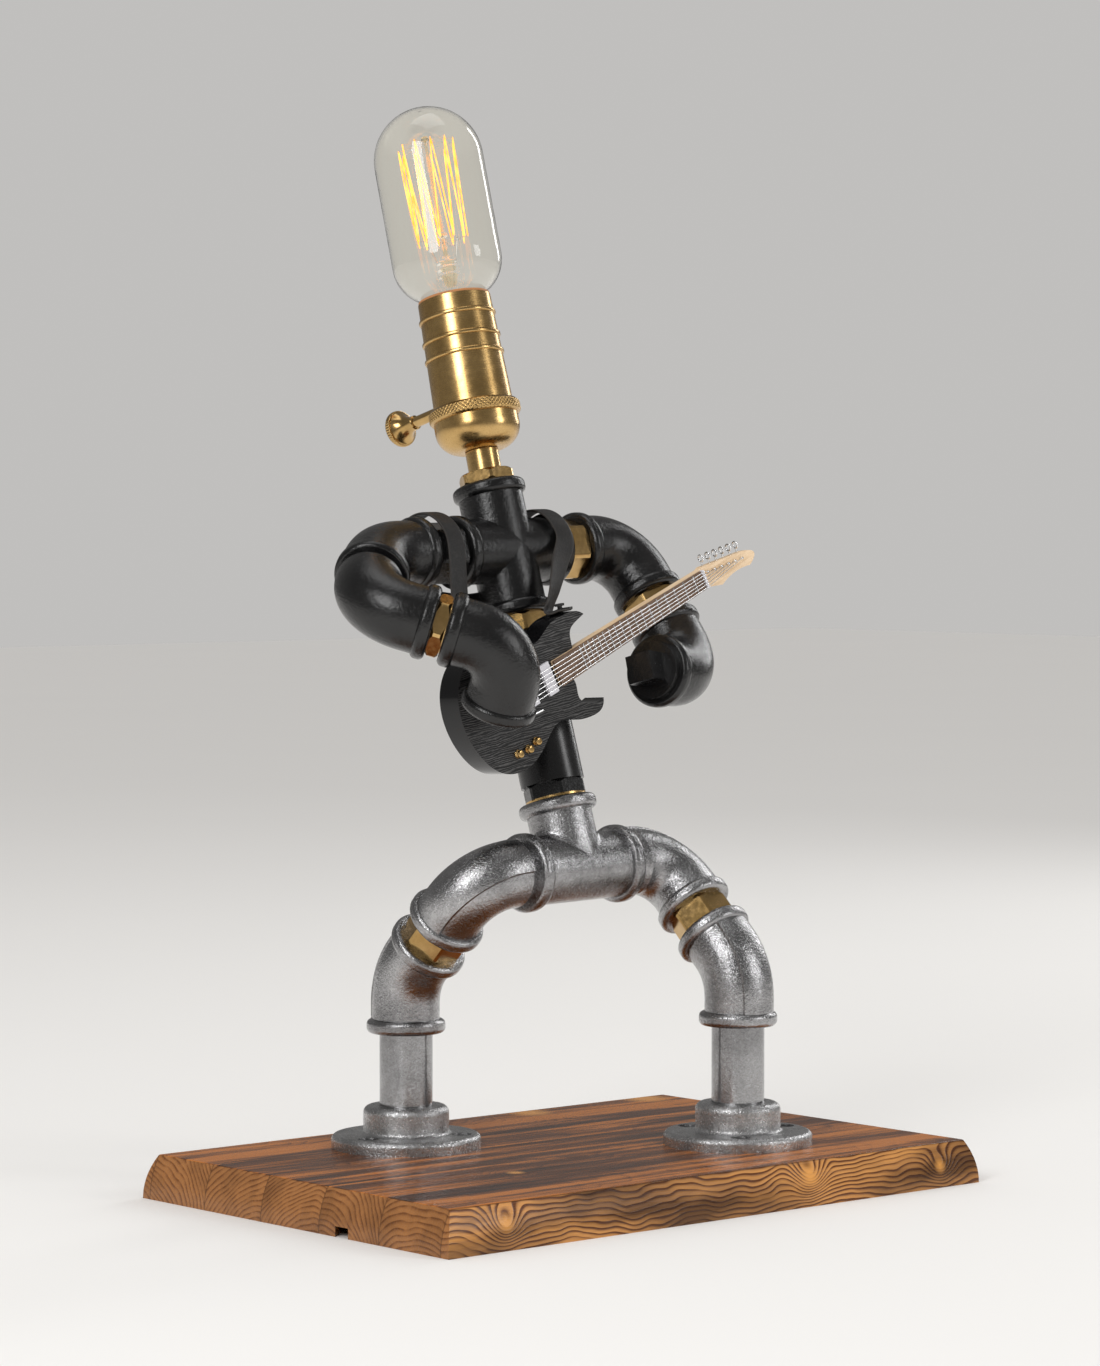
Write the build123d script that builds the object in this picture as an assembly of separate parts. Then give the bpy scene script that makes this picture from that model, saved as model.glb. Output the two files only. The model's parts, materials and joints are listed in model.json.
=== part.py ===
from build123d import *
import math
import os

# Table lamp in the shape of a guitarist, put together from half-inch pipe fittings on a wooden board.
# +Z is up, the figure faces -Y and its right side is -X. The origin is under the middle of the board.
# Lengths are in millimetres and angles in degrees.

# Base board
board_length = 270.0
board_width = 180.0
board_thickness = 17.5
board_flare = 4.7
board_edge_round = 1.2

# Cable groove in the underside of the board
groove_width = 6.0
groove_depth = 4.0
groove_mouth_from_front = 58.0
cable_hole_radius = 4.5

# Pipe thread that every fitting shares
thread_radius = 10.45
thread_length = 13.5
thread_clearance = 0.05
thread_relief = 0.5
bore_radius = 9.0
overrun = 1.0

# Cast fittings
fitting_radius = 13.5
branch_radius = 13.2
bead_width = 5.6
bead_round = 2.1
galvanised_bead_radius = 15.8
painted_bead_radius = 14.9
elbow_reach = 28.0
elbow_bend_radius = 17.5
half_elbow_reach = 22.0
half_elbow_bend_radius = 26.0
street_reach = 37.0
street_neck_radius = 11.2
rib_width = 17.0
rib_height = 1.0
tee_seam_round = 3.0
square_angle = 90.0
half_turn = 180.0
full_turn = 360.0
half_angle = 45.0

# Brass hex nipples and the black one at the waist
hex_across_flats = 22.5
hex_corner_radius = 12.6
hex_chamfer = 1.1
nipple_bore_radius = 7.5
waist_rim_radius = 12.3
waist_rim_height = 1.1

# Floor flanges
flange_radius = 30.0
flange_thickness = 5.4
flange_rim_round = 2.3
hub_radius = 17.2
hub_height = 16.8
hub_round = 3.0
hub_foot_round = 1.6
flange_hole_circle = 22.6
flange_hole_radius = 2.6
flange_hole_count = 3
right_flange_turn = 69.3
left_flange_turn = 109.3

# Countersunk flange screws
screw_head_radius = 4.0
screw_head_height = 2.4
screw_shank_radius = 2.0
screw_length = 16.0
screw_head_sink = 0.6
screw_clearance = 0.05

# Legs and hips
figure_turn = 2.55
figure_side_lean = 1.1
figure_right_shift = 4.9
figure_back_shift = 2.5
leg_pipe_radius = 10.65
leg_pipe_wall = 2.65
leg_pipe_visible = 30.0
knee_gap = 10.2

# Torso
torso_lean = 16.6
waist_gap = 6.9
spine_radius = 12.9
spine_length = 61.3
chest_gap = 8.1

# Right arm, from the chest outwards
right_shoulder_gap = 16.6
right_shoulder_roll_angle = 310.5
right_upper_arm_roll_angle = 326.3
right_forearm_gap = 5.4
right_forearm_roll_angle = 305.0

# Left arm, from the chest outwards
left_shoulder_gap = 11.4
left_shoulder_roll_angle = 248.7
left_forearm_gap = 11.4
left_forearm_roll_angle = 165.8
turning_gap = 0.3

# Square-head plug in the left hand
plug_square = 11.5
plug_head_length = 9.0
plug_collar_radius = 11.8
plug_collar_length = 3.0

# Neck bushing and nipple, with the neck a little off the torso's line
head_tilt_left = 1.45
head_tilt_forward = 1.25
bushing_across_flats = 20.5
bushing_corner_radius = 11.5
bushing_height = 5.0
neck_radius = 6.75
neck_bore_radius = 4.0
neck_visible = 9.1
neck_thread_radius = 5.0
neck_thread_length = 8.0

# Lampholder
cap_base_radius = 7.8
cap_dome_height = 9.5
cap_lip_radius = 17.4
cap_lip_height = 3.8
cap_wall = 0.8
cap_hole_clearance = 0.05
ring_radius = 18.9
ring_height = 5.2
ring_round = 0.5
shell_base_radius = 16.5
shell_top_radius = 15.0
shell_wall = 0.7
shell_height = 47.9
shell_bead_height = 1.8
shell_bead_rise = 0.7
shell_bead_shares = (0.52, 0.665, 0.85)
liner_rim_radius = 14.7
liner_radius = 14.1
liner_wall = 0.5
liner_rim_height = 1.0
liner_depth = 24.0
screw_shell_radius = 13.5
screw_shell_wall = 0.3
screw_shell_height = 21.0
insert_radius = 13.4
insert_height = 22.0
contact_radius = 3.0
contact_height = 1.6

# Switch key
key_above_ring = 6.5
key_stem_radius = 2.3
key_inner_reach = 6.0
key_knob_start = 35.5
key_knob_length = 11.0
key_rim_radius = 7.3
key_rim_thickness = 2.2
key_waist_radius = 3.0
key_dish_depth = 1.2
key_clearance = 0.08
key_hole_radius = 2.9

# Bulb
bulb_radius = 22.6
bulb_length = 81.5
bulb_wall = 0.7
bulb_shoulder_height = 15.5
bulb_fit = 0.1
bulb_neck_length = 4.0
bulb_cap_radius = 12.9
bulb_cap_length = 22.0
bulb_cap_wall = 0.5
bulb_neck_radius = bulb_cap_radius - bulb_cap_wall - bulb_fit
bulb_tip_radius = 4.6
bulb_tip_height = 2.6
bulb_seat_gap = 0.4
mount_foot_radius = 9.0
mount_waist_radius = 4.5
mount_height = 24.0
mount_rod_radius = 1.1
mount_rod_height = 71.0
cage_radius = 10.6
cage_start = 27.0
cage_height = 43.0
cage_wire_radius = 0.35
cage_wire_count = 10
cage_arm_gap = 0.1

# Miniature guitar
guitar_body_length = 73.0
guitar_body_width = 52.0
guitar_body_thickness = 11.7
guitar_heel_width = 10.6
guitar_nut_width = 7.8
guitar_neck_length = 79.0
guitar_neck_depth = 4.2
guitar_neck_rise = 0.9
guitar_pocket_length = 9.0
guitar_pocket_clearance = 0.05
fretboard_thickness = 1.2
fret_count = 18
fret_width = 0.5
fret_height = 0.35
nut_thickness = 1.2
nut_height = 1.0
head_length = 31.0
head_width = 12.4
head_depth = 3.0
string_count = 6
string_radius = 0.18
string_gap = 0.05
bridge_span_share = 0.78
nut_span_share = 0.82
pickup_length = 13.0
pickup_width = 5.0
pickup_height = 1.3
pickup_places_shares = (-0.185, -0.335)
bridge_place_share = -0.48
bridge_length = 12.0
bridge_width = 5.5
bridge_height = 1.6
lever_radius = 0.45
lever_length = 15.0
lever_rise = 1.6
knob_radius = 1.8
knob_height = 2.2
knob_places_shares = ((-0.553, -0.379), (-0.478, -0.39), (-0.41, -0.371))
tuner_loop_radius = 1.35
tuner_wire_radius = 0.35
tuner_stem_length = 2.2
strap_pin_radius = 1.0
strap_pin_length = 2.6
strap_pin_head_radius = 2.0
strap_pin_head_height = 0.8
strap_pin_gap = 0.15
tail_pin_shares = (-0.6, 0.2)
horn_pin_shares = (0.125, 0.3555)
horn_pin_angle = 76.0
guitar_joint_side = 1.8
guitar_joint_drop = 44.6
neck_rise_angle = 24.8
guitar_tip_back = 3.0
hand_gap = 0.3

# Leather strap
strap_width = 9.0
strap_thickness = 1.2
strap_clearance = 0.6
strap_end_gap = 0.3
strap_end_length = 9.0
right_strap_place = 39.5
left_strap_place = 20.5
strap_back_drop = 22.0
strap_back_round = 12.0

# Lamp wire inside the pipes
wire_radius = 1.7
wire_bend_radius = 12.0
wire_hole_radius = 3.0
wire_hole_depth = 6.0
wire_end_gap = 1.0


def aim(shape, origin, z_dir, x_dir):
    """Set a shape that was built at the origin along Z into place."""
    return Plane(origin=origin, x_dir=x_dir, z_dir=z_dir).location * shape


def square_to(axis, reference):
    """The direction square to an axis that lies nearest to a reference direction."""
    return (reference - axis * reference.dot(axis)).normalized()


def in_frame(frame, direction):
    """A direction as seen in a frame."""
    return Vector(direction.dot(frame.x_dir), direction.dot(frame.y_dir), direction.dot(frame.z_dir))


def deflect(axis, reference, bend, roll):
    """The direction of a pipe after a bend, rolled about the axis from the reference direction."""
    side_up = square_to(axis, reference)
    side_along = side_up.cross(axis)
    turn = math.radians(bend)
    spin = math.radians(roll)
    sideways = side_along * math.cos(spin) + side_up * math.sin(spin)
    return axis * math.cos(turn) + sideways * math.sin(turn)


def rod(radius, length):
    """A cylinder that stands on the origin along Z."""
    return Cylinder(radius, length, align=(Align.CENTER, Align.CENTER, Align.MIN))


def bead_ring(bead_radius, reach):
    """The rolled bead round the mouth of a fitting's arm along Z."""
    ring = Pos(0, 0, reach - bead_width) * rod(bead_radius, bead_width)
    return fillet(ring.edges().filter_by(GeomType.CIRCLE), bead_round)


def thread_pocket(reach):
    """The tapped hole in the mouth of a fitting's arm along Z, with an overrun past the mouth."""
    depth = thread_length + thread_relief
    return Pos(0, 0, reach - depth) * rod(thread_radius + thread_clearance, depth + overrun)


def elbow(bend, reach, bend_radius, bead_radius, male_reach=0, ribbed=False):
    """An elbow whose inlet arm runs along +X to the origin and whose outlet turns towards +Z.

    A male_reach makes the outlet a street end, with an outside thread in place of a bead.
    """
    turn = math.radians(bend)
    out = Vector(math.cos(turn), 0, math.sin(turn))
    inlet = Vector(-1, 0, 0)
    across = Vector(0, 1, 0)
    body_reach = bend_radius * math.tan(turn / 2) + overrun if male_reach else reach
    path = FilletPolyline(inlet * reach, (0, 0, 0), out * body_reach, radius=bend_radius)
    start = Plane(origin=inlet * reach, x_dir=across, z_dir=-inlet)
    body = sweep(start * Circle(fitting_radius), path=path)
    if ribbed:
        rib_radius = fitting_radius + rib_height
        band = Circle(rib_radius) & Pos(0, -rib_radius / 2) * Rectangle(rib_width, rib_radius)
        body += sweep(start * band, path=path)
    body += aim(bead_ring(bead_radius, reach), (0, 0, 0), inlet, across)
    if male_reach:
        shoulder = male_reach - thread_length
        neck = Cone(fitting_radius, street_neck_radius, shoulder - body_reach,
                    align=(Align.CENTER, Align.CENTER, Align.MIN))
        body += aim(neck, out * body_reach, out, across)
        body += aim(rod(thread_radius, thread_length), out * shoulder, out, across)
    else:
        body += aim(bead_ring(bead_radius, reach), (0, 0, 0), out, across)
    outlet_reach = male_reach if male_reach else reach
    bore_path = FilletPolyline(
        inlet * (reach + overrun), (0, 0, 0), out * (outlet_reach + overrun), radius=bend_radius)
    bore_start = Plane(origin=inlet * (reach + overrun), x_dir=across, z_dir=-inlet)
    body -= sweep(bore_start * Circle(bore_radius), path=bore_path)
    body -= aim(thread_pocket(reach), (0, 0, 0), inlet, across)
    if not male_reach:
        body -= aim(thread_pocket(reach), (0, 0, 0), out, across)
    return body


def place_elbow(shape, centre, inward, outward):
    """Set an elbow so that the pipe enters along one direction and leaves along the other."""
    bend_side = square_to(inward, outward)
    return aim(shape, centre, bend_side, inward)


def branched(directions, radii, bead_radius, seam_round):
    """A tee or cross: one arm per direction from a common centre, beaded, bored and tapped."""
    body = None
    for direction, radius in zip(directions, radii):
        arm = aim(rod(radius, elbow_reach), (0, 0, 0), direction, direction.cross(Vector(0, 1, 0)))
        body = arm if body is None else body + arm
    if seam_round:
        seams = body.edges().filter_by(GeomType.CIRCLE, reverse=True)
        seams = seams.filter_by(GeomType.LINE, reverse=True)
        body = fillet(seams, seam_round)
    for direction in directions:
        side = direction.cross(Vector(0, 1, 0))
        body += aim(bead_ring(bead_radius, elbow_reach), (0, 0, 0), direction, side)
    for direction in directions:
        side = direction.cross(Vector(0, 1, 0))
        body -= aim(rod(bore_radius, elbow_reach + overrun), (0, 0, 0), direction, side)
        body -= aim(thread_pocket(elbow_reach), (0, 0, 0), direction, side)
    return body


def hexagon_bar(across_flats, corner_radius, height, chamfer_size):
    """A hexagon bar along Z with its corners turned off at both ends."""
    bar = extrude(RegularPolygon(across_flats / 2, 6, major_radius=False), height)
    turned = rod(corner_radius, height)
    turned = chamfer(turned.edges().filter_by(GeomType.CIRCLE), chamfer_size)
    return bar & turned


def hex_nipple(collar):
    """A hex nipple along Z: collar from the origin upwards, with a thread at each end and a bore."""
    nipple = hexagon_bar(hex_across_flats, hex_corner_radius, collar, hex_chamfer)
    nipple += Pos(0, 0, -thread_length) * rod(thread_radius, collar + 2 * thread_length)
    through = collar + 2 * (thread_length + overrun)
    nipple -= Pos(0, 0, -thread_length - overrun) * rod(nipple_bore_radius, through)
    return nipple


def waist_fitting(collar):
    """The black hex nipple at the waist, with a thin round rim against the tee."""
    nipple = hex_nipple(collar)
    rim = rod(waist_rim_radius, waist_rim_height) - rod(nipple_bore_radius, waist_rim_height)
    return nipple + rim


def hole_places():
    """The screw holes' places round a flange."""
    step = full_turn / flange_hole_count
    return [Rot(0, 0, step * index) * Pos(flange_hole_circle, 0, 0) for index in range(flange_hole_count)]


def flange():
    """A floor flange: a round plate with a hub, tapped for the leg pipe and countersunk for screws."""
    plate = rod(flange_radius, flange_thickness)
    plate = fillet(plate.edges().filter_by(GeomType.CIRCLE).group_by(Axis.Z)[-1], flange_rim_round)
    hub = rod(hub_radius, hub_height)
    hub = fillet(hub.edges().filter_by(GeomType.CIRCLE).group_by(Axis.Z)[-1], hub_round)
    body = plate + hub
    foot = body.edges().filter_by(GeomType.CIRCLE).filter_by(
        lambda edge: abs(edge.radius - hub_radius) < thread_clearance)
    body = fillet(foot.group_by(Axis.Z)[0], hub_foot_round)
    body -= Pos(0, 0, -overrun) * rod(thread_radius + thread_clearance, hub_height + 2 * overrun)
    sink_bottom = flange_thickness - screw_head_sink - screw_head_height
    sink = Pos(0, 0, sink_bottom) * Cone(
        flange_hole_radius, screw_head_radius + screw_clearance, screw_head_height,
        align=(Align.CENTER, Align.CENTER, Align.MIN))
    mouth_radius = screw_head_radius + screw_clearance
    mouth = Pos(0, 0, sink_bottom + screw_head_height) * rod(mouth_radius, screw_head_sink + overrun)
    shaft = Pos(0, 0, -overrun) * rod(flange_hole_radius, flange_thickness)
    for place in hole_places():
        body -= place * (sink + mouth + shaft)
    return body


def flange_screw():
    """A countersunk wood screw, its head's flat top at the height where it sits in a flange."""
    top = flange_thickness - screw_head_sink
    head = Pos(0, 0, top - screw_head_height) * Cone(
        screw_shank_radius, screw_head_radius, screw_head_height,
        align=(Align.CENTER, Align.CENTER, Align.MIN))
    shank = Pos(0, 0, top - screw_length) * rod(screw_shank_radius, screw_length - screw_head_height)
    return head + shank


def board_profile(half_top):
    """Half-width section of the board, with sides that rise straight and curl in to the top edge."""
    half_foot = half_top + board_flare
    right_side = TangentArc((half_foot, 0), (half_top, board_thickness), tangent=(0, 1))
    left_side = TangentArc((-half_foot, 0), (-half_top, board_thickness), tangent=(0, 1))
    top = Line((half_top, board_thickness), (-half_top, board_thickness))
    foot = Line((-half_foot, 0), (half_foot, 0))
    return make_face([right_side, top, left_side, foot])


def base_board(feet, flange_turns, outlet):
    """The board: flared sides, pilot holes for the screws, the cable's hole and its groove."""
    span = board_length + board_width
    lengthwise = Plane.XZ * board_profile(board_length / 2)
    crosswise = Plane.YZ * board_profile(board_width / 2)
    board = extrude(lengthwise, span, both=True) & extrude(crosswise, span, both=True)
    rim = board.edges().group_by(Axis.Z)[-1]
    board = fillet(rim, board_edge_round)
    for foot, flange_turn in zip(feet, flange_turns):
        for place in hole_places():
            pilot = rod(screw_shank_radius + screw_clearance, screw_length + overrun)
            pilot = Pos(0, 0, -screw_length) * pilot
            board -= Pos(foot) * Rot(0, 0, flange_turn) * place * pilot
    board -= Pos(outlet.X, outlet.Y, -overrun) * rod(cable_hole_radius, board_thickness + 2 * overrun)
    mouth = Vector(-board_length / 2 - board_flare, -board_width / 2 + groove_mouth_from_front, 0)
    course = mouth - Vector(outlet.X, outlet.Y, 0)
    groove = Box(course.length + groove_width, groove_width, groove_depth + overrun,
                 align=(Align.MIN, Align.CENTER, Align.MIN))
    board -= aim(groove, (outlet.X, outlet.Y, -overrun), Vector(0, 0, 1), course.normalized())
    return board


def leg_pipe(visible):
    """A leg pipe along Z: the visible stretch stands on the origin, with a thread at each end."""
    pipe = rod(leg_pipe_radius, visible)
    pipe += Pos(0, 0, -thread_length) * rod(thread_radius, visible + 2 * thread_length)
    inside = leg_pipe_radius - leg_pipe_wall
    length = visible + 2 * (thread_length + overrun)
    return pipe - Pos(0, 0, -thread_length - overrun) * rod(inside, length)


def spine_tube():
    """The spine sleeve along Z from the origin, bored and tapped at both ends."""
    tube = rod(spine_radius, spine_length)
    tube -= Pos(0, 0, -overrun) * rod(bore_radius, spine_length + 2 * overrun)
    tube -= thread_pocket(spine_length)
    return tube - Pos(0, 0, spine_length) * Rot(half_turn, 0, 0) * thread_pocket(spine_length)


def hand_plug():
    """A square-head plug along Z: thread below the origin, collar and square head above."""
    plug = Pos(0, 0, -thread_length) * rod(thread_radius, thread_length)
    plug += rod(plug_collar_radius, plug_collar_length)
    head = Pos(0, 0, plug_collar_length) * Box(
        plug_square, plug_square, plug_head_length, align=(Align.CENTER, Align.CENTER, Align.MIN))
    return plug + head


def neck_bushing(neck_line, torso_line):
    """The hex bushing in the top of the cross, bored on the neck's own line."""
    body = hexagon_bar(bushing_across_flats, bushing_corner_radius, bushing_height, hex_chamfer)
    body += Pos(0, 0, -thread_length) * rod(thread_radius, thread_length)
    local = Plane(origin=(0, 0, 0), x_dir=square_to(torso_line, Vector(1, 0, 0)), z_dir=torso_line)
    axis = in_frame(local, neck_line)
    side = square_to(axis, Vector(1, 0, 0))
    bore = rod(neck_thread_radius + thread_clearance, bushing_height + thread_length + 2 * overrun)
    return body - aim(bore, axis * (-thread_length - overrun), axis, side)


def neck_nipple():
    """The lamp nipple along Z: thread in the bushing, visible neck, and the thread that the cap sits on."""
    base = bushing_height + turning_gap
    nipple = Pos(0, 0, base - thread_length) * rod(neck_thread_radius, thread_length)
    nipple += Pos(0, 0, base) * rod(neck_radius, neck_visible - turning_gap)
    nipple += Pos(0, 0, base) * rod(neck_thread_radius, neck_visible + neck_thread_length)
    inside = thread_length + neck_visible + neck_thread_length
    return nipple - Pos(0, 0, base - thread_length - overrun) * rod(neck_bore_radius, inside + 2 * overrun)


# Heights along the head's line, from the top face of the cross
cap_base = bushing_height + neck_visible + turning_gap
cap_lip_base = cap_base + cap_dome_height
ring_base = cap_lip_base + cap_lip_height
ring_middle = ring_base + ring_height / 2
shell_top = ring_middle + shell_height
liner_top = shell_top + liner_rim_height
key_height = ring_middle + key_above_ring
insert_base = ring_base
insert_top = insert_base + insert_height
contact_top = insert_top + contact_height
bulb_base = contact_top + bulb_seat_gap
bulb_cap_base = bulb_base + bulb_tip_height
bulb_cap_top = bulb_cap_base + bulb_cap_length
glass_base = bulb_cap_top - bulb_neck_length
glass_top = liner_top + bulb_length


def holder_cap():
    """The spun dome under the lampholder, with a rolled lip and the hole for the neck's thread."""
    hole = neck_thread_radius + cap_hole_clearance
    inner_base = cap_base_radius - cap_wall
    inner_lip = cap_lip_radius - cap_wall
    outside = [
        Line((0, cap_base), (cap_base_radius, cap_base)),
        TangentArc((cap_lip_radius, cap_lip_base), (cap_base_radius, cap_base), tangent=(0, -1)),
        Line((cap_lip_radius, cap_lip_base), (cap_lip_radius, ring_base)),
        Line((cap_lip_radius, ring_base), (0, ring_base)),
        Line((0, ring_base), (0, cap_base)),
    ]
    inner_floor = cap_base + cap_wall
    inside = [
        Line((0, inner_floor), (inner_base, inner_floor)),
        TangentArc((inner_lip, cap_lip_base), (inner_base, inner_floor), tangent=(0, -1)),
        Line((inner_lip, cap_lip_base), (inner_lip, ring_base + overrun)),
        Line((inner_lip, ring_base + overrun), (0, ring_base + overrun)),
        Line((0, ring_base + overrun), (0, inner_floor)),
    ]
    dome = revolve(Plane.XZ * make_face(outside), axis=Axis.Z)
    dome -= revolve(Plane.XZ * make_face(inside), axis=Axis.Z)
    return dome - Pos(0, 0, cap_base - overrun) * rod(hole, cap_wall + 2 * overrun)


def holder_ring():
    """The knurled ring that clamps the cap to the shell."""
    inner = shell_base_radius
    ring = Pos(0, 0, ring_base) * rod(ring_radius, ring_height)
    ring = fillet(ring.edges().filter_by(GeomType.CIRCLE), ring_round)
    return ring - Pos(0, 0, ring_base - overrun) * rod(inner, ring_height + 2 * overrun)


def holder_shell():
    """The tapering shell, with rolled beads round it and the hole for the switch key."""
    height = shell_top - ring_base
    shell = Pos(0, 0, ring_base) * Cone(
        shell_base_radius, shell_top_radius, height, align=(Align.CENTER, Align.CENTER, Align.MIN))
    for share in shell_bead_shares:
        middle = ring_base + height * share
        radius = shell_base_radius + (shell_top_radius - shell_base_radius) * share
        rolled = Pos(0, 0, middle - shell_bead_height / 2) * rod(radius + shell_bead_rise, shell_bead_height)
        shell += fillet(rolled.edges().filter_by(GeomType.CIRCLE), shell_bead_rise)
    shell -= Pos(0, 0, ring_base) * Cone(
        shell_base_radius - shell_wall, shell_top_radius - shell_wall, height,
        align=(Align.CENTER, Align.CENTER, Align.MIN))
    hole = Pos(0, 0, key_height) * Rot(0, square_angle, 0) * rod(key_hole_radius, shell_base_radius + overrun)
    return shell - hole


def holder_liner():
    """The insulating sleeve inside the shell, whose rim shows under the glass."""
    inner = liner_radius - liner_wall
    sleeve = Pos(0, 0, liner_top - liner_depth) * rod(liner_radius, liner_depth)
    sleeve += Pos(0, 0, shell_top) * rod(liner_rim_radius, liner_rim_height)
    return sleeve - Pos(0, 0, liner_top - liner_depth - overrun) * rod(inner, liner_depth + 2 * overrun)


def socket_insert():
    """The insulating block that carries the contacts and the switch, with the key's bore."""
    block = Pos(0, 0, insert_base) * rod(insert_radius, insert_height)
    bore = rod(key_stem_radius + key_clearance, insert_radius + overrun)
    block -= Pos(0, 0, key_height) * Rot(0, square_angle, 0) * bore
    return block - Pos(0, 0, insert_base - overrun) * rod(wire_hole_radius, wire_hole_depth + overrun)


def screw_shell():
    """The threaded sleeve that the bulb's cap screws into."""
    sleeve = Pos(0, 0, insert_top) * rod(screw_shell_radius, screw_shell_height)
    inner = screw_shell_radius - screw_shell_wall
    return sleeve - Pos(0, 0, insert_top - overrun) * rod(inner, screw_shell_height + 2 * overrun)


def key_stem():
    """The switch key's stem, along X out of the lampholder."""
    stem = rod(key_stem_radius, key_knob_start - key_inner_reach)
    return Pos(0, 0, key_height) * Rot(0, square_angle, 0) * Pos(0, 0, key_inner_reach) * stem


def key_knob():
    """The trumpet-shaped knob on the key, dished at its outer end."""
    flare = key_knob_length - key_rim_thickness
    outline = [
        Line((0, 0), (key_waist_radius, 0)),
        TangentArc((key_waist_radius, 0), (key_rim_radius, flare), tangent=(0, 1)),
        Line((key_rim_radius, flare), (key_rim_radius, key_knob_length)),
        Line((key_rim_radius, key_knob_length), (0, key_knob_length - key_dish_depth)),
        Line((0, key_knob_length - key_dish_depth), (0, 0)),
    ]
    knob = revolve(Plane.XZ * make_face(outline), axis=Axis.Z)
    return Pos(0, 0, key_height) * Rot(0, square_angle, 0) * Pos(0, 0, key_knob_start) * knob


def glass_outline(inset):
    """Half section of the bulb's glass: neck, shoulder, side and round crown, drawn in by an inset."""
    radius = bulb_radius - inset
    neck = bulb_neck_radius - inset
    neck_top = liner_top + bulb_seat_gap
    side_base = neck_top + bulb_shoulder_height
    crown_base = glass_top - bulb_radius
    return [
        Line((0, glass_base), (neck, glass_base)),
        Line((neck, glass_base), (neck, neck_top)),
        TangentArc((radius, side_base), (neck, neck_top), tangent=(0, -1)),
        Line((radius, side_base), (radius, crown_base)),
        RadiusArc((radius, crown_base), (0, crown_base + radius), -radius),
        Line((0, crown_base + radius), (0, glass_base)),
    ]


def bulb_glass():
    """The tubular glass envelope, hollow and open at its neck."""
    outside = revolve(Plane.XZ * make_face(glass_outline(0)), axis=Axis.Z)
    inside = revolve(Plane.XZ * make_face(glass_outline(bulb_wall)), axis=Axis.Z)
    return outside - inside


def bulb_cap():
    """The bulb's screw cap, a thin cup with a contact tip."""
    cup = Pos(0, 0, bulb_cap_base) * rod(bulb_cap_radius, bulb_cap_length)
    inner = bulb_cap_radius - bulb_cap_wall
    cup -= Pos(0, 0, bulb_cap_base + bulb_cap_wall) * rod(inner, bulb_cap_length)
    return cup + Pos(0, 0, bulb_base) * rod(bulb_tip_radius, bulb_tip_height)


def bulb_mount():
    """The glass mount inside the bulb: a flared foot in the neck and a rod that carries the cage."""
    inner_neck = bulb_neck_radius - bulb_wall - bulb_fit
    foot_top = glass_base + bulb_neck_length
    mount = Pos(0, 0, glass_base) * rod(inner_neck, bulb_neck_length)
    mount += Pos(0, 0, foot_top) * Cone(
        mount_foot_radius, mount_waist_radius, mount_height, align=(Align.CENTER, Align.CENTER, Align.MIN))
    return mount + Pos(0, 0, foot_top) * rod(mount_rod_radius, mount_rod_height)


def bulb_filament():
    """The squirrel cage: one wire that zigzags round the mount's rod, on thin arms at its turns."""
    foot_top = glass_base + bulb_neck_length
    step = full_turn / cage_wire_count
    half_step = math.radians(step / 2)
    slant = math.degrees(math.atan2(cage_radius * math.tan(half_step), cage_height / 2))
    wire_length = cage_height / math.cos(math.radians(slant))
    arm_length = cage_radius / math.cos(half_step) - mount_rod_radius - cage_arm_gap
    arm = Pos(0, 0, mount_rod_radius + cage_arm_gap) * rod(cage_wire_radius, arm_length)
    arm = Rot(0, square_angle, 0) * arm
    cage = None
    for index in range(cage_wire_count):
        upper = index % 2
        wire = Pos(cage_radius, 0, 0) * Rot(slant if upper else -slant, 0, 0) * Cylinder(
            cage_wire_radius, wire_length)
        wire += Rot(0, 0, step / 2) * Pos(0, 0, cage_height / 2 * (-1 if upper else 1)) * arm
        wire = Rot(0, 0, step * index) * wire
        cage = wire if cage is None else cage + wire
    return Pos(0, 0, foot_top + cage_start + cage_height / 2) * cage


# Outline of the guitar's body, from the lower side of the neck round the tail to the upper side.
# Each point is a share of the body's length along the neck and of its width across it.
lower_cutaway_shares = (
    (-0.02, -0.108), (-0.017, -0.177), (-0.027, -0.272), (0.011, -0.342), (0.074, -0.377), (0.129, -0.374))
body_edge_shares = (
    (0.129, -0.374), (0.0875, -0.444), (-0.003, -0.448), (-0.102, -0.4055), (-0.207, -0.3445),
    (-0.281, -0.372), (-0.36, -0.44), (-0.507, -0.519), (-0.685, -0.452), (-0.801, -0.192),
    (-0.822, 0.04), (-0.781, 0.27), (-0.658, 0.442), (-0.493, 0.475), (-0.34, 0.372),
    (-0.245, 0.308), (-0.158, 0.3), (-0.031, 0.3655), (0.084, 0.366), (0.164, 0.34), (0.207, 0.286))
upper_cutaway_shares = ((0.207, 0.286), (0.151, 0.272), (0.079, 0.23), (0.057, 0.143), (0.05, 0.1))

# Outline of the headstock past the nut, as shares of its length and width
head_edge_shares = ((0.06, 0.36), (0.82, 0.06))
head_end_shares = ((0.82, 0.06), (1.0, -0.22), (0.86, -0.5))
head_under_shares = ((0.86, -0.5), (0.55, -0.42), (0.3, -0.56))


def body_point(share):
    """A point of the guitar's outline from its shares."""
    return (share[0] * guitar_body_length, share[1] * guitar_body_width)


def head_point(share):
    """A point of the headstock's outline from its shares."""
    return (guitar_neck_length + share[0] * head_length, share[1] * head_width)


def neck_half_width(along):
    """Half the neck's width at a distance from where it leaves the body."""
    share = along / guitar_neck_length
    return (guitar_heel_width + (guitar_nut_width - guitar_heel_width) * share) / 2


def neck_blank(near, far, spread):
    """The tapering plan of the neck between two distances, widened by a spread."""
    return make_face(Polyline(
        (near, -neck_half_width(near) - spread), (far, -neck_half_width(far) - spread),
        (far, neck_half_width(far) + spread), (near, neck_half_width(near) + spread), close=True))


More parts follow.
